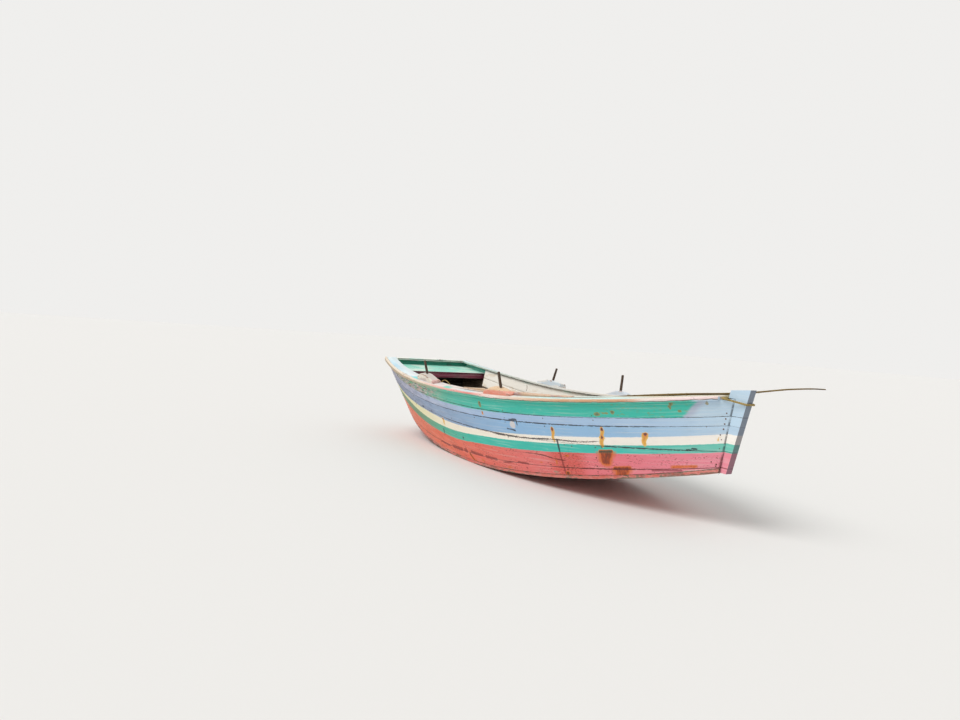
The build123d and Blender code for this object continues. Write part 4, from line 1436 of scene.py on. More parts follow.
def grow(item: Object, tree: NodeTree, material: Material, **sizes: float) -> Object:
    """Run a geometry tree on an object and keep the result as its plain mesh.

    Args:
        item: Object that carries the tree's points or line.
        tree: The geometry tree.
        material: Material that the tree sets.
        sizes: Values by the tree's input names, underscores for blanks.

    Returns:
        The same object with its grown mesh.
    """
    modifier = item.modifiers.new("growth", "NODES")
    modifier.node_group = tree
    for socket in tree.interface.items_tree:
        if socket.in_out == "INPUT" and socket.name == "Material":
            modifier[socket.identifier] = material
        elif socket.in_out == "INPUT" and socket.name.lower().replace(" ", "_") in sizes:
            modifier[socket.identifier] = float(sizes[socket.name.lower().replace(" ", "_")])
    graph = bpy.context.evaluated_depsgraph_get()
    mesh = bpy.data.meshes.new_from_object(item.evaluated_get(graph))
    item.modifiers.clear()
    mesh.name = item.name
    item.data = mesh
    if not mesh.materials:
        mesh.materials.append(material)
    smooth(mesh, 55)
    return item


@functools.cache
def nail_tree() -> NodeTree:
    """Domed nail heads on points, each turned to its point's aim."""
    growth = Growth("nail_heads", {"Radius": 0.0035, "Height": 0.0022})
    net, given = growth.net, growth.given
    half = given["Radius"] * 0.62
    inputs = {"Vertices": 9, "Radius Top": half, "Radius Bottom": given["Radius"], "Depth": given["Height"]}
    head = net.read("GeometryNodeMeshCone", inputs)
    aim = net.read("GeometryNodeInputNamedAttribute", {0: "aim"}, data_type="FLOAT_VECTOR")
    turn = net.read("FunctionNodeAlignRotationToVector", {"Vector": aim}, axis="Z")
    size = net.read("FunctionNodeRandomValue", {2: 0.75, 3: 1.2, 8: 5}, 1, data_type="FLOAT")
    inputs = {"Points": given["Geometry"], "Instance": head, "Rotation": turn, "Scale": size}
    return growth.close(net.read("GeometryNodeInstanceOnPoints", inputs))


@functools.cache
def bead_tree() -> NodeTree:
    """An uneven bead along a line, such as the pitch in a seam."""
    growth = Growth("seam_bead", {"Radius": 0.0024, "Unevenness": 0.5, "Step": 0.012})
    net, given = growth.net, growth.given
    line = net.read("GeometryNodeMeshToCurve", {0: given["Geometry"]})
    line = net.read("GeometryNodeResampleCurve", {"Curve": line, "Length": given["Step"]}, mode="LENGTH")
    lumps = net.read("ShaderNodeTexNoise", {"Scale": 34.0, "Detail": 2.0})
    swing = (lumps - 0.5) * (given["Unevenness"] * 4.0)
    scale = net.math("MAXIMUM", swing + 1.0, 0.35)
    profile = net.read("GeometryNodeCurvePrimitiveCircle", {"Resolution": 6, "Radius": given["Radius"]})
    inputs = {"Curve": line, "Profile Curve": profile, "Scale": scale, "Fill Caps": True}
    return growth.close(net.read("GeometryNodeCurveToMesh", inputs))


@functools.cache
def rope_tree() -> NodeTree:
    """Three strands laid round a line."""
    growth = Growth("rope_lay", {"Strand Radius": 0.003, "Lay Radius": 0.0029, "Turns": 10.0})
    net, given = growth.net, growth.given
    line = net.read("GeometryNodeMeshToCurve", {0: given["Geometry"]})
    line = net.read("GeometryNodeResampleCurve", {"Curve": line, "Count": 260})
    share = net.read("GeometryNodeSplineParameter", output="Factor")
    normal, tangent = net.read("GeometryNodeInputNormal"), net.read("GeometryNodeInputTangent")
    side = net.read("ShaderNodeVectorMath", {0: tangent, 1: normal}, operation="CROSS_PRODUCT")
    join = net.node("GeometryNodeJoinGeometry")
    profile = net.read("GeometryNodeCurvePrimitiveCircle", {"Resolution": 7, "Radius": given["Strand Radius"]})
    for strand in range(3):
        angle = net.fused(share * given["Turns"], 2 * math.pi, strand * 2 * math.pi / 3)
        reach = []
        for direction, wave in ((normal, "COSINE"), (side, "SINE")):
            part = net.node("ShaderNodeVectorMath", {0: direction}, operation="SCALE")
            net.feed(part.inputs["Scale"], net.math(wave, angle) * given["Lay Radius"])
            reach.append(part.outputs[0])
        offset = net.read("ShaderNodeVectorMath", {0: reach[0], 1: reach[1]}, operation="ADD")
        moved = net.read("GeometryNodeSetPosition", {"Geometry": line, "Offset": offset})
        tube = net.read("GeometryNodeCurveToMesh", {"Curve": moved, "Profile Curve": profile})
        net.feed(join.inputs[0], tube)
    return growth.close(join.outputs[0])


def line_mesh(name: str, points: Array, breaks: Sequence[int] = ()) -> Object:
    """An object of bare edges along points.

    Args:
        name: Name of the object.
        points: Places in order.
        breaks: Numbers of the points that start a new line.

    Returns:
        The object.
    """
    mesh = bpy.data.meshes.new(name)
    edges = [(i, i + 1) for i in range(len(points) - 1) if i + 1 not in breaks]
    mesh.from_pydata([tuple(p) for p in points], edges, [])
    return link(mesh)


# ---- sub-assemblies


class Boat:
    """What dresses each piece, with every finish built once, and joins it to the body that it rides on."""

    def __init__(self) -> None:
        """Start with nothing made."""
        self.finishes: dict[str, Material] = {}

    def finish(self, kind: object) -> Material:
        """Material of a finish, built once by its name."""
        if kind.name not in self.finishes:
            self.finishes[kind.name] = kind.material()
        return self.finishes[kind.name]

    def add(self, item: Object, slot: str, *finishes: object, node: Optional[str] = None) -> Object:
        """Dress a piece and join it to the boat.

        Args:
            item: The piece.
            slot: Material slot of the record that it belongs to; not used.
            finishes: Finishes of its material slots, or none if it is dressed.
            node: Node of the solid model that it stands for.

        Returns:
            The piece.
        """
        if finishes:
            clothe(item, *[self.finish(kind) for kind in finishes])
        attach(item, "root")
        if node:
            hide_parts(node)
        log.info("%s: %d faces", item.name, len(item.data.polygons))
        return item

    def board(self, node: str, slot: str, *finishes: object, bevel: float = 0.0025) -> Object:
        """Wear a board of the solid model round, dress it and join it to the boat.

        Args:
            node: Node of the solid model.
            slot: Material slot of the record; passed on, not used.
            finishes: Finishes of its material slots.
            bevel: Width of its worn edges.

        Returns:
            The piece.
        """
        return self.add(Softened(node, bevel).build(), slot, *finishes)


# Shares of the length where the frames stand, the first 0.48 m from the transom and the others 0.45 m apart.
FRAME_SHARES = (0.480 + 0.450 * np.arange(8)) / LENGTH
STRAKE_SLOTS = ("teal_paint", "light_blue_paint", "white_paint", "red_paint", "red_paint")

STARBOARD_MARKS = (
    *traces(
        Patch, Trace.RUST, (0.536, 0.11, 0.026, 0.034, 0.8), (0.537, 0.095, 0.012, 0.020, 1.1),
        (0.721, 0.357, 0.014, 0.022, 1.3), (0.818, 0.345, 0.013, 0.020, 1.3), (0.817, 0.452, 0.013, 0.018, 1.25),
        (0.888, 0.416, 0.024, 0.014, 1.15), (0.887, 0.48, 0.012, 0.026, 0.66), (0.935, 0.135, 0.016, 0.009, 0.9),
        (0.968, 0.039, 0.014, 0.011, 0.5), (0.812, 0.152, 0.030, 0.016, 0.95), (0.838, 0.125, 0.018, 0.015, 0.95),
        (0.826, 0.135, 0.036, 0.010, 0.5), (0.539, 0.215, 0.009, 0.010, 1.1), (0.539, 0.235, 0.015, 0.016, 0.7),
        (0.359, 0.468, 0.024, 0.012, 1.1), (0.47, 0.95, 0.034, 0.012, 0.9), (0.544, 0.70, 0.012, 0.008, 1.0),
        (0.36, 0.89, 0.034, 0.012, 0.66), (0.682, 0.807, 0.026, 0.009, 0.66), (0.50, 0.91, 0.05, 0.014, 0.6),
        (0.59, 0.93, 0.05, 0.012, 0.6), (0.744, 0.70, 0.034, 0.013, 0.68), (0.719, 0.79, 0.014, 0.032, 0.66),
        (0.741, 0.93, 0.030, 0.022, 1.0),
    ),
    *traces(Patch, Trace.PALE, (0.625, 0.335, 0.045, 0.044)),
    *traces(
        Patch, Trace.DARK, (0.816, 0.575, 0.014, 0.008), (0.257, 0.403, 0.034, 0.015, 0.8),
        (0.437, 0.655, 0.015, 0.015), (0.436, 0.818, 0.022, 0.014), (0.641, 0.90, 0.012, 0.009),
        (0.54, 0.927, 0.012, 0.010),
    ),
    *traces(Patch, Trace.BARE, (0.715, 0.93, 0.05, 0.022)),
    *traces(
        Drip, Trace.RUST, (0.721, 0.36, 0.545, 0.028, 0.48), (0.818, 0.35, 0.50, 0.026, 0.48),
        (0.8165, 0.44, 0.60, 0.032, 0.52), (0.887, 0.42, 0.60, 0.036, 0.5), (0.922, 0.02, 0.11, 0.013, 0.9),
        (0.36, 0.48, 0.57, 0.032, 0.4), (0.990, 0.49, 0.58, 0.014, 0.35), (0.8215, 0.634, 0.86, 0.112, 0.86),
        (0.849, 0.862, 1.03, 0.125, 0.8),
    ),
    *traces(Drip, Trace.DARK, (0.345, 0.63, 0.73, 0.014)),
    *traces(
        Crack, Trace.RUST, ((0.45, 0.87), (0.466, 0.965), 0.022, 0.1, 0.85),
        ((0.811, 0.636), (0.832, 0.634), 0.018, 0.3, 1.0), ((0.836, 0.862), (0.862, 0.862), 0.024, 0.4, 0.9),
        ((0.930, 0.868), (0.966, 0.885), 0.016, 0.0, 0.66),
    ),
    *traces(
        Crack, Trace.PALE, ((0.95, 0.955), (0.998, 0.955), 0.018, 0.35, 0.9),
        ((0.55, 0.975), (0.82, 0.975), 0.014, 0.45, 0.8),
    ),
    *traces(
        Crack, Trace.DARK, ((0.617, 0.270), (0.636, 0.262), 0.007, 0.1),
        ((0.6365, 0.262), (0.6375, 0.33), 0.008, 0.1), ((0.607, 0.395), (0.63, 0.41), 0.007, 0.4),
        ((0.950, 0.652), (0.963, 0.645), 0.008, 0.0), ((0.31, 0.86), (0.36, 0.862), 0.014, 0.25, 0.8),
        ((0.374, 0.85), (0.438, 0.843), 0.024, 0.25, 0.8), ((0.459, 0.834), (0.551, 0.853), 0.018, 0.35, 0.8),
        ((0.574, 0.872), (0.612, 0.844), 0.012, 0.5, 0.8), ((0.620, 0.839), (0.654, 0.846), 0.012, 0.5, 0.8),
        ((0.728, 0.50), (0.731, 0.70), 0.010, 0.2), ((0.731, 0.70), (0.736, 0.93), 0.011, 0.3),
        ((0.90, 0.90), (0.945, 0.925), 0.009, 0.2), ((0.95, 0.975), (0.996, 0.975), 0.010, 0.35),
    ),
    *traces(Crack, Trace.BARE, ((0.05, 0.985), (0.95, 0.985), 0.022, 0.33, 0.9)),
)
HEADS = (
    (0.721, 0.352), (0.818, 0.342), (0.817, 0.446), (0.888, 0.412), (0.359, 0.468), (0.539, 0.215), (0.972, 0.354),
    (0.991, 0.475), (0.986, 0.838), (0.537, 0.09), (0.473, 0.02),
)

PORT_MARKS = (
    *traces(
        Patch, Trace.RUST, (0.30, 0.37, 0.020, 0.016), (0.50, 0.33, 0.018, 0.014), (0.70, 0.46, 0.020, 0.016),
        (0.87, 0.21, 0.012, 0.012), (0.20, 0.48, 0.024, 0.016, 0.7),
    ),
    *traces(Patch, Trace.DARK, (0.30, 0.78, 0.06, 0.012, 0.8)),
    *traces(Patch, Trace.BARE, (0.44, 0.30, 0.09, 0.040), (0.08, 0.42, 0.14, 0.07), (0.80, 0.88, 0.12, 0.05)),
    *traces(
        Drip, Trace.RUST, (0.30, 0.37, 0.50, 0.015), (0.50, 0.33, 0.45, 0.013), (0.70, 0.46, 0.56, 0.014),
        (0.58, 0.66, 0.80, 0.040), (0.20, 0.48, 0.57, 0.022, 0.5),
    ),
    *traces(Crack, Trace.PALE, ((0.05, 0.60), (0.20, 0.38), 0.012, 0.3, 0.8)),
    *traces(
        Crack, Trace.DARK, ((0.42, 0.49), (0.78, 0.505), 0.008, 0.45), ((0.15, 0.87), (0.36, 0.90), 0.016, 0.5),
        ((0.55, 0.84), (0.80, 0.86), 0.007, 0.55),
    ),
    *traces(Crack, Trace.BARE, ((0.05, 0.985), (0.95, 0.985), 0.020, 0.4, 0.8)),
)


@dataclass
class Planking:
    """Five strakes a side, their seams payed with pitch and their fastenings."""

    boat: Boat
    seam: float = 0.0008
    deck_front: float = 0.41
    deck_level: float = 0.68
    butts: dict[Side, float] = field(default_factory=lambda: {Side.STARBOARD: 0.75, Side.PORT: 0.42})
    paint: SidePaint = SidePaint()
    row: float = 0.011
    worn: float = 0.0019
    fade: float = 0.006
    nail_margin: float = 0.018
    wide_plank: float = 0.14
    frame_nails: float = 0.42
    end_nails: float = 0.8
    end_shares: tuple[float, float] = (0.012, 0.9935)
    butt_reach: float = 0.008
    sheer_margin: float = 0.010
    stray_along: float = 0.0007
    stray_down: float = 0.003
    jointed: int = 3
    pitch_depth: float = 0.0026
    pitch_waver: float = 0.0014
    sheer_pitch: float = 0.0012
    butt_depth: float = 0.0022
    butt_points: int = 24

    def corners(self, frame: SideFrame, index: int) -> Array:
        """Corners of a strake's sections, from the outer top edge round by its foot.

        Args:
            frame: Section planes.
            index: Strake, counted from the sheer.

        Returns:
            Four points per section.
        """
        depth = HULL.plank

        def top(out: float) -> Array:
            """Distance down to the strake's upper edge."""
            return HULL.seam(frame, index) + self.seam / 2 if index else HULL.under_cap(frame, 0.0, out)

        def foot(out: float) -> Array:
            """Distance down to the strake's lower edge."""
            if index == len(SEAMS) - 1:
                return HULL.off_bottom(frame, HULL.fit, out)
            return HULL.seam(frame, index + 1) - self.seam / 2

        places = ((top, 0.0), (foot, 0.0), (foot, -depth), (top, -depth))
        return np.stack([frame.at(edge(out), out) for edge, out in places], 1)

    def strake(self, side: Side, index: int) -> None:
        """Make one strake of one side, in one or two lengths."""
        node = f"{side.prefix}_strake_{index + 1}"
        cut = self.butts[side] if index >= self.jointed else None
        half = self.seam / 2 / LENGTH
        spans = [(0.0, cut - half), (cut + half, 1.0)] if cut else [(0.0, 1.0)]
        for start, end in spans:
            frame = HULL.side(stations(start, end))
            marks = STARBOARD_MARKS if side is Side.STARBOARD else PORT_MARKS
            corners = self.corners(frame, index)
            height = float(np.max(np.linalg.norm(corners[:, 1] - corners[:, 0], axis=-1)))
            rows = (max(3, round(height / self.row)), 2, 2, 2)
            part = "planks" if not cut else "aft_plank" if start == 0.0 else "fore_plank"
            seed = 11 * index + len(side.name)
            strip = Strip(f"{node}_{part}", frame, corners, rows, self.worn, seed, self.fade, marks)
            plank = self.boat.add(
                strip.skin().build(side), STRAKE_SLOTS[index], self.paint, DARK_TIMBER, QUARTER_PAINT, node=node,
            )
            split_faces(plank, lambda face: self.inside(face, side))

    def inside(self, face: MeshPolygon, side: Side) -> int:
        """Which of the three finishes a face has: the side's, bare timber, or the paint above the stern deck."""
        if face.normal.y * side.value > -0.3 or face.normal.x < -0.6:
            return 0
        return 2 if face.center.x < SHIFT + self.deck_front and face.center.z > self.deck_level else 1

    def pitch(self, side: Side) -> None:
        """Lay the pitch in the seams of one side and in its butt joints."""
        lines, breaks = [], []
        frame = HULL.side(stations(0.002, 0.998, 0.03))
        waver = Unevenness(91)
        for index in range(1, len(SEAMS)):
            breaks.append(sum(len(line) for line in lines))
            down = HULL.seam(frame, index)
            out = -self.pitch_depth + self.pitch_waver * (waver(frame.share * 60, 9.0 * index) - 0.5)
            out = out - (self.sheer_pitch if index == 1 else 0)
            lines.append(frame.at(down, out))
        column = HULL.side(np.full(self.butt_points, self.butts[side]))
        breaks.append(sum(len(line) for line in lines))
        share = np.linspace(0.005, 0.985, self.butt_points)
        start, end = HULL.seam(column, self.jointed), HULL.off_bottom(column, HULL.fit, 0.0)
        lines.append(column.at(start + (end - start) * share, -self.butt_depth))
        points = np.concatenate(lines) * (1, side.value, 1) + (SHIFT, 0, 0)
        item = line_mesh(f"{side.prefix}_seam_pitch", points, breaks)
        grow(item, bead_tree(), self.boat.finish(SeamCaulk()), radius=0.0015, unevenness=0.5, step=0.012)
        self.boat.add(item, "teal_paint")

    def nails(self, side: Side) -> None:
        """Set the nail heads that stand proud at the frames, the stem and the butt."""
        chance = np.random.default_rng(40 + side.value)
        places, aims = [], []
        beside_butt = [self.butts[side] - self.butt_reach, self.butts[side] + self.butt_reach]
        shares = [*FRAME_SHARES, *self.end_shares, *beside_butt]
        for column, share in enumerate(shares):
            for index in range(len(SEAMS)):
                if column >= len(shares) - len(beside_butt) and index < self.jointed:
                    continue
                frame = HULL.side(np.array([share + chance.normal(0, self.stray_along)]))
                top = HULL.seam(frame, index) if index else np.array([self.sheer_margin])
                lowest = index == len(SEAMS) - 1
                foot = HULL.off_bottom(frame, 0.0, 0.0) if lowest else HULL.seam(frame, index + 1)
                count = 3 if float(foot[0] - top[0]) > self.wide_plank else 2
                for way in np.linspace(0.0, 1.0, count):
                    if chance.random() > (self.frame_nails if column < len(FRAME_SHARES) else self.end_nails):
                        continue
                    reach = foot - top - 2 * self.nail_margin
                    down = top + self.nail_margin + reach * way + chance.normal(0, self.stray_down)
                    places.append(frame.at(down, 0.0)[0])
                    aims.append(frame.outward[0])
        for share, depth in HEADS:
            frame = HULL.side(np.array([share]))
            places.append(frame.at(frame.depth * depth, 0.0)[0])
            aims.append(frame.outward[0])
        points = np.array(places) * (1, side.value, 1) + (SHIFT, 0, 0)
        item = line_mesh(f"{side.prefix}_plank_nails", points, range(len(points) + 1))
        set_field(item.data, "aim", np.array(aims) * (1, side.value, 1))
        grow(item, nail_tree(), self.boat.finish(RustyIron()), radius=0.0045, height=0.0028)
        self.boat.add(item, "bare_wood")

    def build(self) -> None:
        """Make both sides."""
        for side in Side:
            for index in range(len(SEAMS)):
                self.strake(side, index)
            self.pitch(side)
            self.nails(side)


RUB_UNDER = ((0.0, (110, 78, 62)), (0.4, (176, 134, 110)), (0.75, (206, 166, 140)), (1.0, (226, 196, 172)))
TOP_TONES = (
    (0, (226, 240, 242)), (0.1, (178, 216, 234)), (0.18, (216, 232, 236)), (0.235, (226, 234, 238)),
    (0.25, (112, 212, 214)), (0.272, (124, 214, 216)), (0.285, (224, 224, 226)), (0.38, (232, 216, 212)),
    (0.397, (232, 216, 212)), (0.405, (110, 212, 190)), (0.424, (120, 212, 192)), (0.435, (230, 214, 210)),
    (0.50, (196, 222, 224)), (0.53, (232, 212, 206)), (0.62, (224, 208, 198)), (0.70, (200, 232, 226)),
    (0.85, (196, 230, 226)), (0.90, (228, 206, 192)), (0.95, (240, 222, 218)), (1, (226, 214, 200)),
)
INNER_TONES = (
    (0, (206, 226, 232)), (0.3, (220, 222, 224)), (0.5, (226, 206, 190)), (0.62, (218, 184, 148)),
    (0.70, (210, 176, 142)), (0.74, (214, 206, 190)), (0.80, (204, 226, 220)), (0.9, (216, 200, 168)),
    (1, (190, 180, 140)),
)
# Painted shade: from 0.48 to 0.80 of the length a dark brown line runs along both caps' tops, as shade under the
# pieces laid on the cap.
SHADE_LINE_TONES = (
    *((place, chip) for place, chip in INNER_TONES if place < 0.4), (0.44, (206, 196, 186)), (0.48, (84, 68, 54)),
    (0.80, (92, 72, 54)), (0.84, (196, 222, 220)), (1, (190, 180, 140)),
)
FACE_TONES = (
    (0, (190, 212, 202)), (0.15, (212, 220, 208)), (0.4, (234, 232, 224)), (0.8, (238, 228, 210)),
    (1, (222, 208, 182)),
)
JOINT_TONES = ((0, (70, 90, 84)), (0.5, (120, 112, 98)), (1, (96, 84, 66)))
CAP_PAINT = RailPaint(
    "cap_paint",
    (
        (0.0, TOP_TONES), (0.125, JOINT_TONES), (0.134, FACE_TONES), (0.155, INNER_TONES), (0.192, SHADE_LINE_TONES),
        (0.211, TOP_TONES),
    ),
    blur=0.0015, loss=0.03,
)
AFT_FACE = (
    (0, (230, 212, 188)), (0.12, (238, 224, 204)), (0.3, (234, 214, 196)), (0.42, (236, 170, 160)),
    (0.52, (232, 140, 132)),
)
FORE_FACE = (
    (0.58, (240, 222, 214)), (0.66, (228, 200, 178)), (0.74, (216, 170, 130)), (0.86, (212, 158, 122)),
    (0.89, (238, 222, 214)), (0.95, (242, 216, 218)), (1, (230, 206, 196)),
)
UNDER_FACE = ((0, (176, 156, 128)), (0.22, (196, 172, 140)), (0.34, (160, 170, 140)), (0.42, (84, 186, 160)))
SHADE_FACE = (*UNDER_FACE, (0.54, (74, 120, 108)), (0.58, (84, 60, 50)), (1, (60, 44, 40)))
FOOT_FACE = (
    *UNDER_FACE, (0.5, (70, 192, 164)), (0.945, (74, 194, 170)), (0.958, (188, 212, 232)), (1, (190, 214, 234)),
)
BACK_FACE = (
    (0, (120, 84, 76)), (0.2, (140, 78, 70)), (0.3, (214, 92, 88)), (0.5, (226, 112, 108)), (0.56, (230, 150, 140)),
    (0.62, (222, 196, 178)), (0.74, (206, 214, 200)), (1, (212, 200, 190)),
)
RUB_PAINT = RailPaint(
    "rubbing_strake_paint",
    (
        (0.0, (*AFT_FACE, *FORE_FACE)), (0.45, (*UNDER_FACE, (0.52, (76, 188, 162)), *FORE_FACE)), (0.62, SHADE_FACE),
        (0.78, FOOT_FACE), (2.28, BACK_FACE), (2.52, (*AFT_FACE, *FORE_FACE)),
    ),
    height=(0.042, -0.014), blur=0.05, loss=0.05, dust=0.3,
)
LINING_PAINT = WornPaint(
    "lining_paint", paint(252, 246, 234), second=paint(240, 226, 206), second_share=0.15, loss=-0.04, dust=0.25,
)
DARK_TIMBER = BareTimber(
    "frame_timber", tones=((0.0, (30, 23, 20)), (0.4, (62, 49, 40)), (0.8, (98, 80, 64)), (1.0, (126, 108, 88))),
    grain=Grain.UPRIGHT, dust=0.5,
)


@dataclass
class Rails:
    """The wide cap over the side and the rubbing strake on its edge."""

    boat: Boat
    cap: float = 0.024
    width: float = 0.108
    rub: float = 0.022
    rub_aft: float = 0.042
    rub_fore: float = 0.028
    end: float = 4.438

    def ring(self, frame: SideFrame, inner: float, outer: float, foot: Array | float, top: Array | float) -> Array:
        """Corners of a rail's sections, from the outer top edge round by its foot."""
        places = ((outer, top), (outer, foot), (inner, foot), (inner, top))
        return np.stack([frame.on_rail(out, up) for out, up in places], 1)

    def squared(self, item: Object) -> Object:
        """Cut a rail off square behind the stem head and close the cut."""
        work = bmesh.new()
        work.from_mesh(item.data)
        whole = [*work.verts, *work.edges, *work.faces]
        bmesh.ops.bisect_plane(
            work, geom=whole, plane_co=(SHIFT + self.end, 0, 0), plane_no=(1, 0, 0), clear_outer=True,
        )
        bmesh.ops.holes_fill(work, edges=[edge for edge in work.edges if edge.is_boundary])
        work.to_mesh(item.data)
        work.free()
        return item

    def build(self) -> None:
        """Make both caps and both rubbing strakes."""
        top = HULL.fit + self.cap
        for side in Side:
            frame = HULL.side(stations(0.0, 1.0, 0.010))
            seed = 70 + side.value
            node = f"{side.prefix}_gunwale_cap"
            strip = Strip(
                f"{node}_board", frame, self.ring(frame, -self.width, 0.0, HULL.fit, top), (3, 3, 3, 10), 0.0042,
                seed,
            )
            skin = strip.skin()
            skin.points[..., 1] = np.maximum(skin.points[..., 1], HULL.fit)
            self.boat.add(self.squared(skin.build(side)), "cap_paint", CAP_PAINT, node=node)
            height = self.rub_aft + (self.rub_fore - self.rub_aft) * frame.share
            node = f"{side.prefix}_rubbing_strake"
            ring = self.ring(frame, HULL.fit, HULL.fit + self.rub, top - height, top)
            strip = Strip(f"{node}_rail", frame, ring, (4, 2, 2, 3), 0.0045, seed + 5)
            self.boat.add(self.squared(strip.skin().build(side)), "rail_wood", RUB_PAINT, node=node)
        self.strips()

    def strips(self) -> None:
        """Lay the thin wedge forward of the starboard forward pad and the raised strip on the cap's inner edge."""
        foot = HULL.fit + self.cap + HULL.fit
        wedge = pad_paint("wedge_paint", paint(206, 168, 136), paint(176, 140, 136), 0.2)
        bead = pad_paint("inner_strip_paint", paint(214, 184, 150), paint(232, 222, 200), 0.25)
        for name, ends, inner, outer, rises, finish in (
            ("starboard_forward_wedge", (0.632, 0.76), -0.10, -0.05, (0.020, 0.0115, 0.003), wedge),
            ("starboard_inner_strip", (0.452, 0.59), -0.107, -0.092, (0.004, 0.020, 0.010), bead),
        ):
            frame = HULL.side(np.linspace(*ends, 13))
            rise = foot + np.interp(np.linspace(0, 2, 13), range(3), rises)
            strip = Strip(name, frame, self.ring(frame, inner, outer, foot, rise), (2, 3, 2, 3), 0.0018, 211)
            self.boat.add(strip.skin().build(Side.STARBOARD), "pad_paint", finish)


@dataclass
class Inside:
    """Frames, lining, risers, thwarts, keelson and the stern deck."""

    boat: Boat
    board: float = 0.100
    gap: float = 0.003
    top: float = 0.032
    thick: float = 0.016
    outer: float = -0.0652

    def lining(self, side: Side) -> None:
        """Make the three lining boards of one side."""
        node = f"{side.prefix}_lining_boards"
        inner = self.outer - self.thick
        for number in range(3):
            frame = HULL.side(stations(0.092, 0.88, 0.014))
            start = self.top + number * (self.board + self.gap)
            places = []
            for out, end in ((inner, 0), (inner, 1), (self.outer, 1), (self.outer, 0)):
                head = HULL.under_cap(frame, HULL.fit, out) if number == 0 else np.full(frame.share.shape, start)
                down = np.full(frame.share.shape, start + self.board) if end else head
                places.append(frame.at(down, out))
            strip = Strip(
                f"{side.prefix}_lining_board_{number + 1}", frame, np.stack(places, 1), (6, 1, 2, 1), 0.0025,
                130 + number,
            )
            # The lowest board is bare dark timber, made this dark also to stand for the painted shade low on the
            # lining.
            self.boat.add(
                strip.skin().build(side), "white_paint", DARK_TIMBER if number == 2 else LINING_PAINT, node=node,
            )

    def build(self) -> None:
        """Make every piece of the inside."""
        across = BareTimber("floor_timber_wood", tones=DARK_TIMBER.tones, grain=Grain.ACROSS, dust=0.8)
        along = BareTimber("inner_timber_wood", tones=DARK_TIMBER.tones, grain=Grain.ALONG, dust=0.8)
        thwart = WornPaint(
            "thwart_paint", paint(176, 188, 184), loss=0.5, dust=0.7,
            grain=Grain.ACROSS, under=DARK_TIMBER.tones,
        )
        deck = WornPaint(
            "deck_paint", paint(142, 218, 198), second=paint(202, 230, 214), second_share=0.55, loss=0.05, dust=0.3,
            grain=Grain.ACROSS,
        )
        beam = WornPaint(
            "beam_paint", paint(146, 60, 88), second=paint(110, 44, 66), second_share=0.4, loss=0.05, dust=0.2,
            grain=Grain.ACROSS,
        )
        for side in Side:
            self.lining(side)
            for part, finish in (("side_timbers", DARK_TIMBER), ("chine_log", along), ("thwart_riser", along)):
                self.boat.board(f"{side.prefix}_{part}", "bare_wood", finish)
        self.boat.board("floor_timbers", "bare_wood", across)
        self.boat.board("keelson", "bare_wood", along)
        for place in ("aft", "forward"):
            self.boat.board(f"{place}_thwart", "bare_wood", thwart, bevel=0.004)
        planks = self.boat.board("stern_deck", "mint_paint", deck, beam, bevel=0.003)
        split_faces(planks, lambda face: face.normal.x > 0.5)
        self.boat.board("stern_deck_beam", "maroon_paint", beam, bevel=0.004)


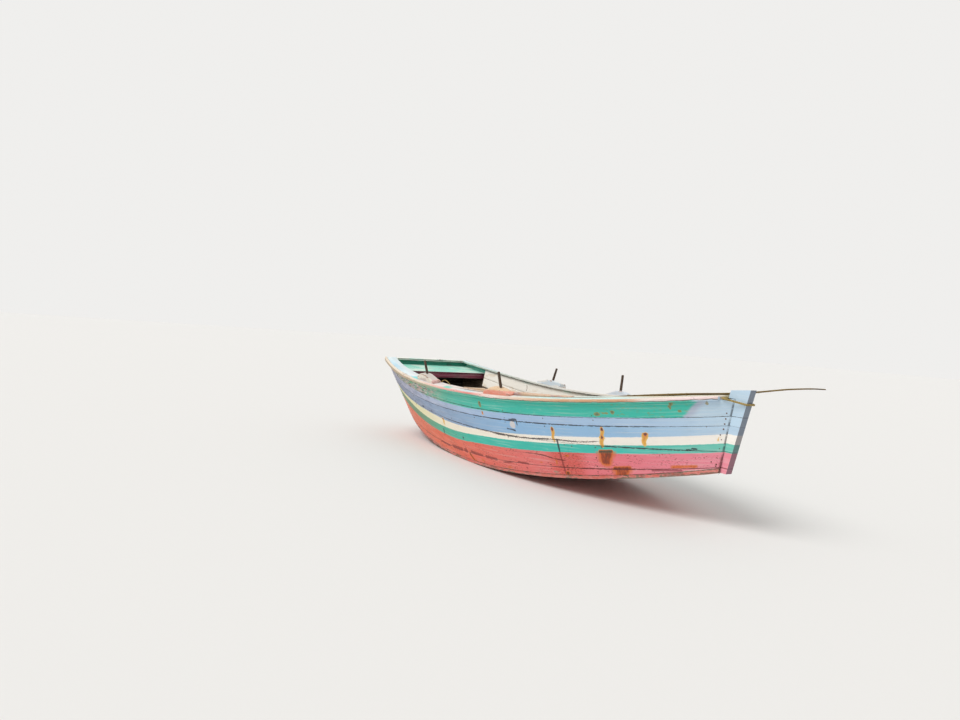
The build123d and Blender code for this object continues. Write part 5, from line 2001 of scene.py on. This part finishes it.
@dataclass
class Ends:
    """Transom and its cap, bottom boards, stem and breasthook.

    Each chart names the share of the length that the paint is taken from, and the bands' top and foot.
    """

    boat: Boat
    transom_chart: Triple = (0.02, 0.79, 0.166)
    stem_chart: Triple = (0.9949, 0.864, 0.370)
    head: float = 0.83

    @staticmethod
    def chart(item: Object, share: float, top: float, foot: float) -> None:
        """Give a piece the sides' charts by its height.

        Args:
            item: The piece.
            share: Share of the length that its paint is taken from.
            top: Height where the bands start.
            foot: Height where they end.
        """
        mesh = item.data
        points = np.empty(len(mesh.vertices) * 3, np.float32)
        mesh.vertices.foreach_get("co", points)
        points = points.reshape(-1, 3)
        loops = np.empty(len(mesh.loops), np.int32)
        mesh.loops.foreach_get("vertex_index", loops)
        bands = np.stack((np.full(len(points), share), (top - points[:, 2]) / (top - foot)), -1)
        metres = np.stack((points[:, 0] + points[:, 1] + 3.0, top - points[:, 2]), -1)
        set_charts(mesh, loops, bands=bands, metres=metres)
        set_field(mesh, "marks", np.zeros((len(points), 4)))

    def build(self) -> None:
        """Make every piece of the two ends and the bottom."""
        transom = Softened("transom", 0.003).build()
        self.chart(transom, *self.transom_chart)
        # Below the stern deck's height the transom's inside is near black: painted shade under the deck.
        inner = WornPaint(
            "transom_inside_paint", paint(14, 134, 112), second=paint(10, 84, 76), second_share=0.3, loss=0.0,
            dust=0.1, grain=Grain.ACROSS, beyond=(((0, 0, -1), -0.69, paint(14, 11, 9)),),
        )
        self.boat.add(transom, "dark_teal_paint", SidePaint(), inner)
        split_faces(transom, lambda face: face.normal.x > 0.3)
        cap = WornPaint(
            "transom_cap_paint", paint(250, 252, 242), second=paint(214, 240, 230), second_share=0.3, loss=0.08,
            dust=0.3, grain=Grain.ACROSS,
        )
        self.boat.board("transom_cap", "cap_paint", cap, bevel=0.005)
        under = WornPaint(
            "bottom_paint", paint(212, 104, 92), second=paint(160, 84, 70), second_share=0.4, loss=0.36, dust=0.5,
        )
        upper = BareTimber("bottom_inside_wood", tones=DARK_TIMBER.tones, dust=1.0)
        bottom = self.boat.board("bottom_boards", "red_paint", under, upper)
        split_faces(bottom, lambda face: face.normal.z > 0.5)
        stem = Softened("stem", 0.005, segments=3).build()
        self.chart(stem, *self.stem_chart)
        # The stem's forward faces have the sides' bands darkened grey-violet: painted shade.
        self.boat.add(
            stem, "rail_wood", SidePaint("stem_paint", loss=-0.1),
            SidePaint("stem_front_paint", loss=0.0, grime=0.72), DARK_TIMBER,
        )
        split_faces(
            stem, lambda face: 2 if face.normal.x < -0.4 and face.center.z < self.head else int(face.normal.x > 0.7),
        )
        breast = WornPaint("breasthook_paint", paint(180, 186, 168), loss=0.4, dust=0.6)
        self.boat.board("breasthook", "cap_paint", breast, bevel=0.004)


@dataclass(frozen=True)
class PadShape:
    """One thole pad and its pin: where it sits, its profile and its finish."""

    side: Side
    place: str
    origin: Triple
    chord: Triple
    up: Triple
    length: float
    heights: Triple
    crown: float
    pin: float
    lean: float
    free: float
    finish: WornPaint


def pad_paint(name: str, tone: Colour, second: Colour, loss: float, *beyond: Plane) -> WornPaint:
    """Finish of one thole pad."""
    return WornPaint(name, tone, second=second, loss=loss, beyond=beyond, under=RUB_UNDER)


PADS = (
    PadShape(
        Side.PORT, "aft_thole", (-0.98449, 0.67908, 0.66523), (0.9994, 0.0146, -0.03154),
        (0.02823, 0.18832, 0.9817), 0.400, (0.024, 0.056, 0.042), 0.50, 0.008, 6, 0.130,
        pad_paint("port_aft_pad_paint", paint(236, 232, 226), paint(206, 218, 226), 0.16),
    ),
    PadShape(
        Side.STARBOARD, "aft_thole", (-1.12678, 0.67609, 0.67032), (0.99854, 0.03031, -0.04464),
        (0.03816, 0.18829, 0.98137), 0.370, (0.040, 0.064, 0.020), 0.38, -0.003, -16, 0.125,
        pad_paint(
            "starboard_aft_pad_paint", paint(228, 222, 206), paint(200, 192, 184), 0.2,
            ((1, 0, 0), -0.975, paint(214, 168, 164)),
        ),
    ),
    PadShape(
        Side.PORT, "forward_thole", (0.14361, 0.64174, 0.68113), (0.99253, -0.10879, 0.05519),
        (-0.03321, 0.19439, 0.98036), 0.370, (0.010, 0.046, 0.010), 0.50, -0.012, -7, 0.150,
        pad_paint(
            "port_forward_pad_paint", paint(206, 216, 226), paint(226, 222, 222), 0.15,
            ((1, 0, 0), 0.285, paint(116, 106, 92)),
        ),
    ),
    PadShape(
        Side.STARBOARD, "forward_thole", (0.11891, 0.64435, 0.67973), (0.99314, -0.10398, 0.05349),
        (-0.03249, 0.19405, 0.98045), 0.352, (0.020, 0.058, 0.014), 0.40, 0.030, -4, 0.125,
        pad_paint(
            "starboard_forward_pad_paint", paint(226, 190, 150), paint(212, 172, 140), 0.15,
            ((0.0535, 0, -1), -0.7005, paint(226, 140, 118)),
        ),
    ),
)


@dataclass
class Tholes:
    """Carved pads on the caps and the turned pins driven into them."""

    boat: Boat
    width: float = 0.084
    radius: float = 0.013
    slim: float = 0.0098
    stick: float = 0.0127
    taper: float = 0.9
    head: float = 0.0096
    tip: float = 0.004
    sides: int = 18
    spread: int = 22
    rounding: float = 0.010

    @staticmethod
    def axes(shape: PadShape) -> Array:
        """Directions of a pad's own X, Y and Z on the port side, as rows."""
        chord, up = unit(np.array(shape.chord)), unit(np.array(shape.up))
        return np.stack((chord, np.cross(up, chord), up))

    def mesh(self, name: str, shape: PadShape, rings: Array) -> Object:
        """Closed mesh through rings of points given in a pad's own directions.

        Args:
            name: Name of the piece.
            shape: The pad.
            rings: Sections by points by three.

        Returns:
            The object.
        """
        world = (rings @ self.axes(shape) + np.array(shape.origin)) * (1, shape.side.value, 1)
        n, m = world.shape[:2]
        mesh = bpy.data.meshes.new(name)
        faces = [
            (i * m + j, i * m + (j + 1) % m, (i + 1) * m + (j + 1) % m, (i + 1) * m + j)
            for i in range(n - 1) for j in range(m)
        ]
        faces += [tuple(reversed(range(m))), tuple((n - 1) * m + j for j in range(m))]
        mesh.from_pydata([tuple(p) for p in world.reshape(-1, 3)], [], faces)
        work = bmesh.new()
        work.from_mesh(mesh)
        bmesh.ops.recalc_face_normals(work, faces=work.faces)
        work.to_mesh(mesh)
        work.free()
        smooth(mesh, 55)
        return link(mesh)

    def pad(self, shape: PadShape) -> None:
        """Make one pad with its crown, its rounded shoulders and its worn ends."""
        half = shape.length / 2
        fine = np.linspace(-half, half, 221)
        crown, flat = (shape.crown - 0.5) * shape.length, shape.length / 8
        aft, high, fore = shape.heights
        line = np.interp(fine, (-half, crown - flat, crown + flat, half), (aft, high, high, fore))
        reach = self.spread
        kernel = np.hanning(2 * reach + 1) / np.hanning(2 * reach + 1).sum()
        line = np.convolve(np.pad(line, reach, mode="edge"), kernel, "same")[reach:-reach]
        ends = 1 - np.clip((np.abs(fine) - half + self.rounding) / self.rounding, 0, 1) ** 2 * 0.45
        keep = np.unique(np.r_[0:12:2, 12:209:4, 209:221:2, 220])
        waver = Unevenness(17 + len(shape.place) + shape.side.value)
        rings, edge = [], []
        for i in keep:
            height = line[i] * ends[i] + 0.0012 * (waver(fine[i] * 30) - 0.5)
            breadth = self.width / 2 * (0.97 + 0.03 * waver(fine[i] * 18, 4.0)) - 0.004 * (1 - ends[i])
            turn = min(0.016, 0.45 * height)
            arc = np.linspace(0, math.pi / 2, 5)
            side_y = np.r_[breadth, breadth - turn + turn * np.cos(arc)]
            side_z = np.r_[0.0, height - turn + turn * np.sin(arc)]
            top_y = np.linspace(breadth - turn, -(breadth - turn), 7)[1:-1]
            top_z = np.full(len(top_y), height)
            y, z = np.r_[side_y, top_y, -side_y[::-1]], np.r_[side_z, top_z, side_z[::-1]]
            rings.append(np.stack((np.full(len(y), fine[i]), y, z), -1))
            bend = np.r_[0.2, 0.6, 1.0, 1.0, 0.7, 0.3]
            edge.append(np.maximum(np.r_[bend, np.zeros(5), bend[::-1]], float(abs(fine[i]) > half - 0.012)))
        name = f"{shape.side.prefix}_{shape.place}_pad"
        item = self.mesh(f"{name}_wood", shape, np.array(rings))
        set_field(item.data, "edge", np.array(edge).ravel())
        self.boat.add(item, "pad_paint", shape.finish, node=name)

    def pin(self, shape: PadShape) -> None:
        """Make one pin: a round stick, hand-cut, slimmer and chamfered at its head."""
        lean = math.radians(shape.lean)
        direction = np.array([math.sin(lean), 0.0, math.cos(lean)])
        across = np.array([math.cos(lean), 0.0, -math.sin(lean)])
        crown = shape.heights[1]
        shank = (crown + self.radius * math.sin(abs(lean))) / math.cos(lean) + 0.002
        ways = np.r_[
            0.4 * crown, shank - 0.001, shank + np.linspace(0.0, 1.0, 15) * (shape.free - 0.006),
            shank + shape.free - 0.002, shank + shape.free,
        ]
        radii = np.r_[self.slim, self.slim, np.linspace(1.0, self.taper, 15) * self.stick, self.head, self.tip]
        waver = Unevenness(25 + len(shape.place) * shape.side.value)
        rings = []
        turn = np.linspace(0, 2 * math.pi, self.sides, endpoint=False)
        for way, radius in zip(ways, radii):
            cut = radius * (1 - 0.05 * waver(3 * np.cos(turn) + 9, way * 40 + 3 * np.sin(turn)))
            middle = np.array([shape.pin, 0, 0]) + direction * way
            rings.append(middle + np.outer(cut * np.cos(turn), across) + np.outer(cut * np.sin(turn), (0, 1, 0)))
        name = f"{shape.side.prefix}_{shape.place}_pin"
        item = self.mesh(f"{name}_wood", shape, np.array(rings))
        set_field(item.data, "edge", np.zeros(len(item.data.vertices)))
        self.boat.add(item, "dark_wood", PIN_WOOD, node=name)

    def build(self) -> None:
        """Make the four pads and their pins."""
        for shape in PADS:
            self.pad(shape)
            self.pin(shape)


PIN_WOOD = BareTimber(
    "pin_wood", tones=((0.0, (40, 31, 27)), (0.4, (76, 60, 50)), (0.8, (116, 96, 80)), (1.0, (152, 132, 112))),
    grain=Grain.UPRIGHT, dust=0.2, fineness=2.0,
)
POLE_WOOD = BareTimber(
    "pole_wood", tones=((0.0, (38, 27, 16)), (0.35, (88, 68, 34)), (0.7, (142, 118, 62)), (1.0, (184, 162, 98))),
    grain=Grain.ALONG, dust=0.2, fineness=1.6,
)


@dataclass
class Tackle:
    """The pole over the bow, the mooring rope's turn round the stem, a loop of cord and a hook."""

    boat: Boat
    knots: tuple[tuple[float, ...], ...] = (
        (-0.77916, 0.096, 0.45161, 0.013), (0.02124, 0.07782, 0.60744, 0.012), (0.875, 0.05843, 0.75507, 0.011),
        (1.48864, 0.04449, 0.84214, 0.009), (1.88884, 0.0354, 0.89105, 0.008), (2.05884, 0.0354, 0.91705, 0.007),
        (2.31084, 0.0414, 0.96405, 0.006), (2.48084, 0.0394, 0.98505, 0.005), (2.55284, 0.0354, 0.98905, 0.004),
    )
    turns: tuple[Triple, ...] = ((1.91114, 0.07791, 0.86258), (2.07396, 0.0357, 0.838))
    crook: float = 0.6
    swell_reach: float = 0.007
    swell_height: float = 0.16
    bend: float = 0.012

    def pole(self) -> None:
        """Make the pole: a crooked stick with swollen nodes."""
        knots = np.array(self.knots)
        reach = np.cumsum(np.r_[0, np.linalg.norm(np.diff(knots[:, :3], axis=0), axis=1)])
        slopes = np.gradient(knots, reach, axis=0)
        ways = np.linspace(0, reach[-1], 300)
        k = np.clip(np.searchsorted(reach, ways, side="right") - 1, 0, len(reach) - 2)
        span = (reach[k + 1] - reach[k])[:, None]
        t = ((ways - reach[k])[:, None]) / span
        line = (2 * t**3 - 3 * t**2 + 1) * knots[k] + (t**3 - 2 * t**2 + t) * span * slopes[k]
        line += (3 * t**2 - 2 * t**3) * knots[k + 1] + (t**3 - t**2) * span * slopes[k + 1]
        straight = knots[k] + (knots[k + 1] - knots[k]) * t
        line = straight + (line - straight) * self.crook
        middles, radii = line[:, :3], straight[:, 3] * np.interp(ways, (2.2, 3.0), (0.94, 0.78))
        places = np.cumsum(0.15 + 0.07 * np.random.default_rng(3).random(26))
        swell = sum(np.exp(-(((ways - place) / self.swell_reach) ** 2)) for place in places)
        radii = radii * (1 + self.swell_height * swell)
        tangent = unit(np.gradient(middles, axis=0))
        right = unit(np.cross(tangent, (0, 0, 1)))
        over = np.cross(right, tangent)
        turn = np.linspace(0, 2 * math.pi, 12, endpoint=False)
        rings = middles[:, None] + radii[:, None, None] * (
            np.cos(turn)[None, :, None] * right[:, None] + np.sin(turn)[None, :, None] * over[:, None]
        )
        chart = np.zeros((len(rings), 13, 2))
        flat = Skin(
            "pole_stick", rings - (SHIFT, 0, 0), chart, chart, np.repeat(np.clip(swell, 0, 1)[:, None], 12, 1),
        )
        self.boat.add(flat.build(Side.PORT), "dark_wood", POLE_WOOD, node="pole")

    def rope(self) -> None:
        """Make the rope: three strands laid round the loop behind the head and down to the stem's front."""
        port = [np.array(p) for p in self.turns]
        corners = port + [p * (1, -1, 1) for p in reversed(port)]
        points = []
        for i, corner in enumerate(corners):
            before, after = corners[i - 1], corners[(i + 1) % len(corners)]
            for other in (before, None, after):
                points.append(corner if other is None else corner + unit(other - corner) * self.bend)
        curve = bpy.data.curves.new("stem_rope_line", "CURVE")
        curve.dimensions = "3D"
        spline = curve.splines.new("NURBS")
        spline.points.add(len(points) - 1)
        for place, point in zip(spline.points, points):
            place.co = (*point, 1.0)
        spline.order_u, spline.use_cyclic_u, spline.resolution_u = 3, True, 6
        guide = bpy.data.objects.new("stem_rope_line", curve)
        bpy.context.scene.collection.objects.link(guide)
        mesh = bpy.data.meshes.new_from_object(guide.evaluated_get(bpy.context.evaluated_depsgraph_get()))
        bpy.data.objects.remove(guide)
        mesh.name = "stem_rope_strands"
        item = link(mesh)
        grow(item, rope_tree(), self.boat.finish(RopeFibre()), strand_radius=0.0038, lay_radius=0.0035, turns=13.0)
        self.boat.add(item, "rope", node="stem_rope")

    def loops(self) -> None:
        """Make the cord loop on the starboard cap and the hook on the port lining."""
        frame = HULL.side(np.linspace(0.357, 0.398, 24))
        loop = frame.on_rail(-0.09, 0.028 + 0.032 * np.sin(np.linspace(0, math.pi, 24))) * (1, -1, 1) + (SHIFT, 0, 0)
        hook = np.array(((-1.3453, 0.6242, 0.6337), (-1.3236, 0.6149, 0.603), (-1.3163, 0.6036, 0.571)))
        pieces = (("starboard_cap_cord_loop", loop, RopeFibre()), ("port_lining_hook", hook, RustyIron()))
        for name, points, finish in pieces:
            item = line_mesh(name, points)
            grow(item, bead_tree(), self.boat.finish(finish), radius=0.003, unevenness=0.1, step=0.008)
            self.boat.add(item, "dark_wood")

    def build(self) -> None:
        """Make the pole, the rope, the loop and the hook."""
        self.pole()
        self.rope()
        self.loops()


# ---- studio


@dataclass
class Studio:
    """Floor, soft lamps, pale surroundings and the camera."""

    eye: Triple = (SHIFT + 7.6560, -3.8087, 1.1854)
    ahead: Triple = (-0.86021, 0.50832, -0.04053)
    rightward: Triple = (0.50493, 0.86019, 0.07160)
    focal: float = 27.04
    sensor: float = 36.0
    sight: float = 100.0
    sun: float = 1.7
    fill: float = 0.25
    half_floor: float = 60.0
    surroundings: float = 0.55
    backdrop: float = 0.868

    def camera(self) -> None:
        """Place the camera at the photograph's viewing angle."""
        data = bpy.data.cameras.new("photo_view")
        data.lens, data.sensor_width, data.clip_end = self.focal, self.sensor, self.sight
        item = bpy.data.objects.new("photo_view", data)
        bpy.context.scene.collection.objects.link(item)
        ahead = Vector(self.ahead).normalized()
        right = Vector(self.rightward).normalized()
        up = right.cross(ahead).normalized()
        right = ahead.cross(up).normalized()
        turn = Matrix((right, up, -ahead)).transposed().to_4x4()
        item.matrix_world = Matrix.Translation(self.eye) @ turn
        bpy.context.scene.camera = item

    def lamp(self, name: str, aim: Triple, power: float, spread: float) -> None:
        """Add a wide soft sun that shines along an aim."""
        data = bpy.data.lights.new(name, "SUN")
        data.energy, data.angle = power, math.radians(spread)
        item = bpy.data.objects.new(name, data)
        bpy.context.scene.collection.objects.link(item)
        item.rotation_euler = Vector(aim).to_track_quat("-Z", "Y").to_euler()

    def floor(self) -> None:
        """Lay the floor."""
        mesh = bpy.data.meshes.new("plain_floor")
        corners = [(x * self.half_floor, y * self.half_floor, 0) for x, y in ((-1, -1), (1, -1), (1, 1), (-1, 1))]
        mesh.from_pydata(corners, [], [(0, 1, 2, 3)])
        item = link(mesh)
        clothe(item, PlainFloor().material())

    def sky(self) -> None:
        """Light from all round, with a pale background to the eye."""
        world = bpy.data.worlds.new("pale_surroundings")
        bpy.context.scene.world = world
        world.use_nodes = True
        world.node_tree.nodes.clear()
        net = Net(world.node_tree)
        rays = net.named(net.node("ShaderNodeLightPath").outputs)
        seen = net.math("MAXIMUM", rays["Is Camera Ray"], rays["Is Glossy Ray"])
        strength = net.read("ShaderNodeMapRange", {0: seen, 1: 0.0, 2: 1.0, 3: self.surroundings, 4: self.backdrop})
        glow = net.read("ShaderNodeBackground", {"Color": (1.0, 0.992, 0.975), "Strength": strength})
        net.node("ShaderNodeOutputWorld", {"Surface": glow})

    def build(self) -> None:
        """Set up the whole studio."""
        bpy.context.scene.view_settings.view_transform = "Standard"
        self.camera()
        self.floor()
        self.sky()
        self.lamp("key_sun", (0.12, 0.58, -0.80), self.sun, 40)
        self.lamp("fill_sun", (0.30, -0.50, -0.80), self.sun * self.fill, 90)


def main() -> None:
    """Build the studio and the boat, and report each piece."""
    logging.basicConfig(level=logging.INFO, format="%(message)s")
    Studio().build()
    boat = Boat()
    for part in (Planking(boat), Rails(boat), Inside(boat), Ends(boat), Tholes(boat), Tackle(boat)):
        log.info("%s", type(part).__name__)
        part.build()


if __name__ == "__main__":
    main()
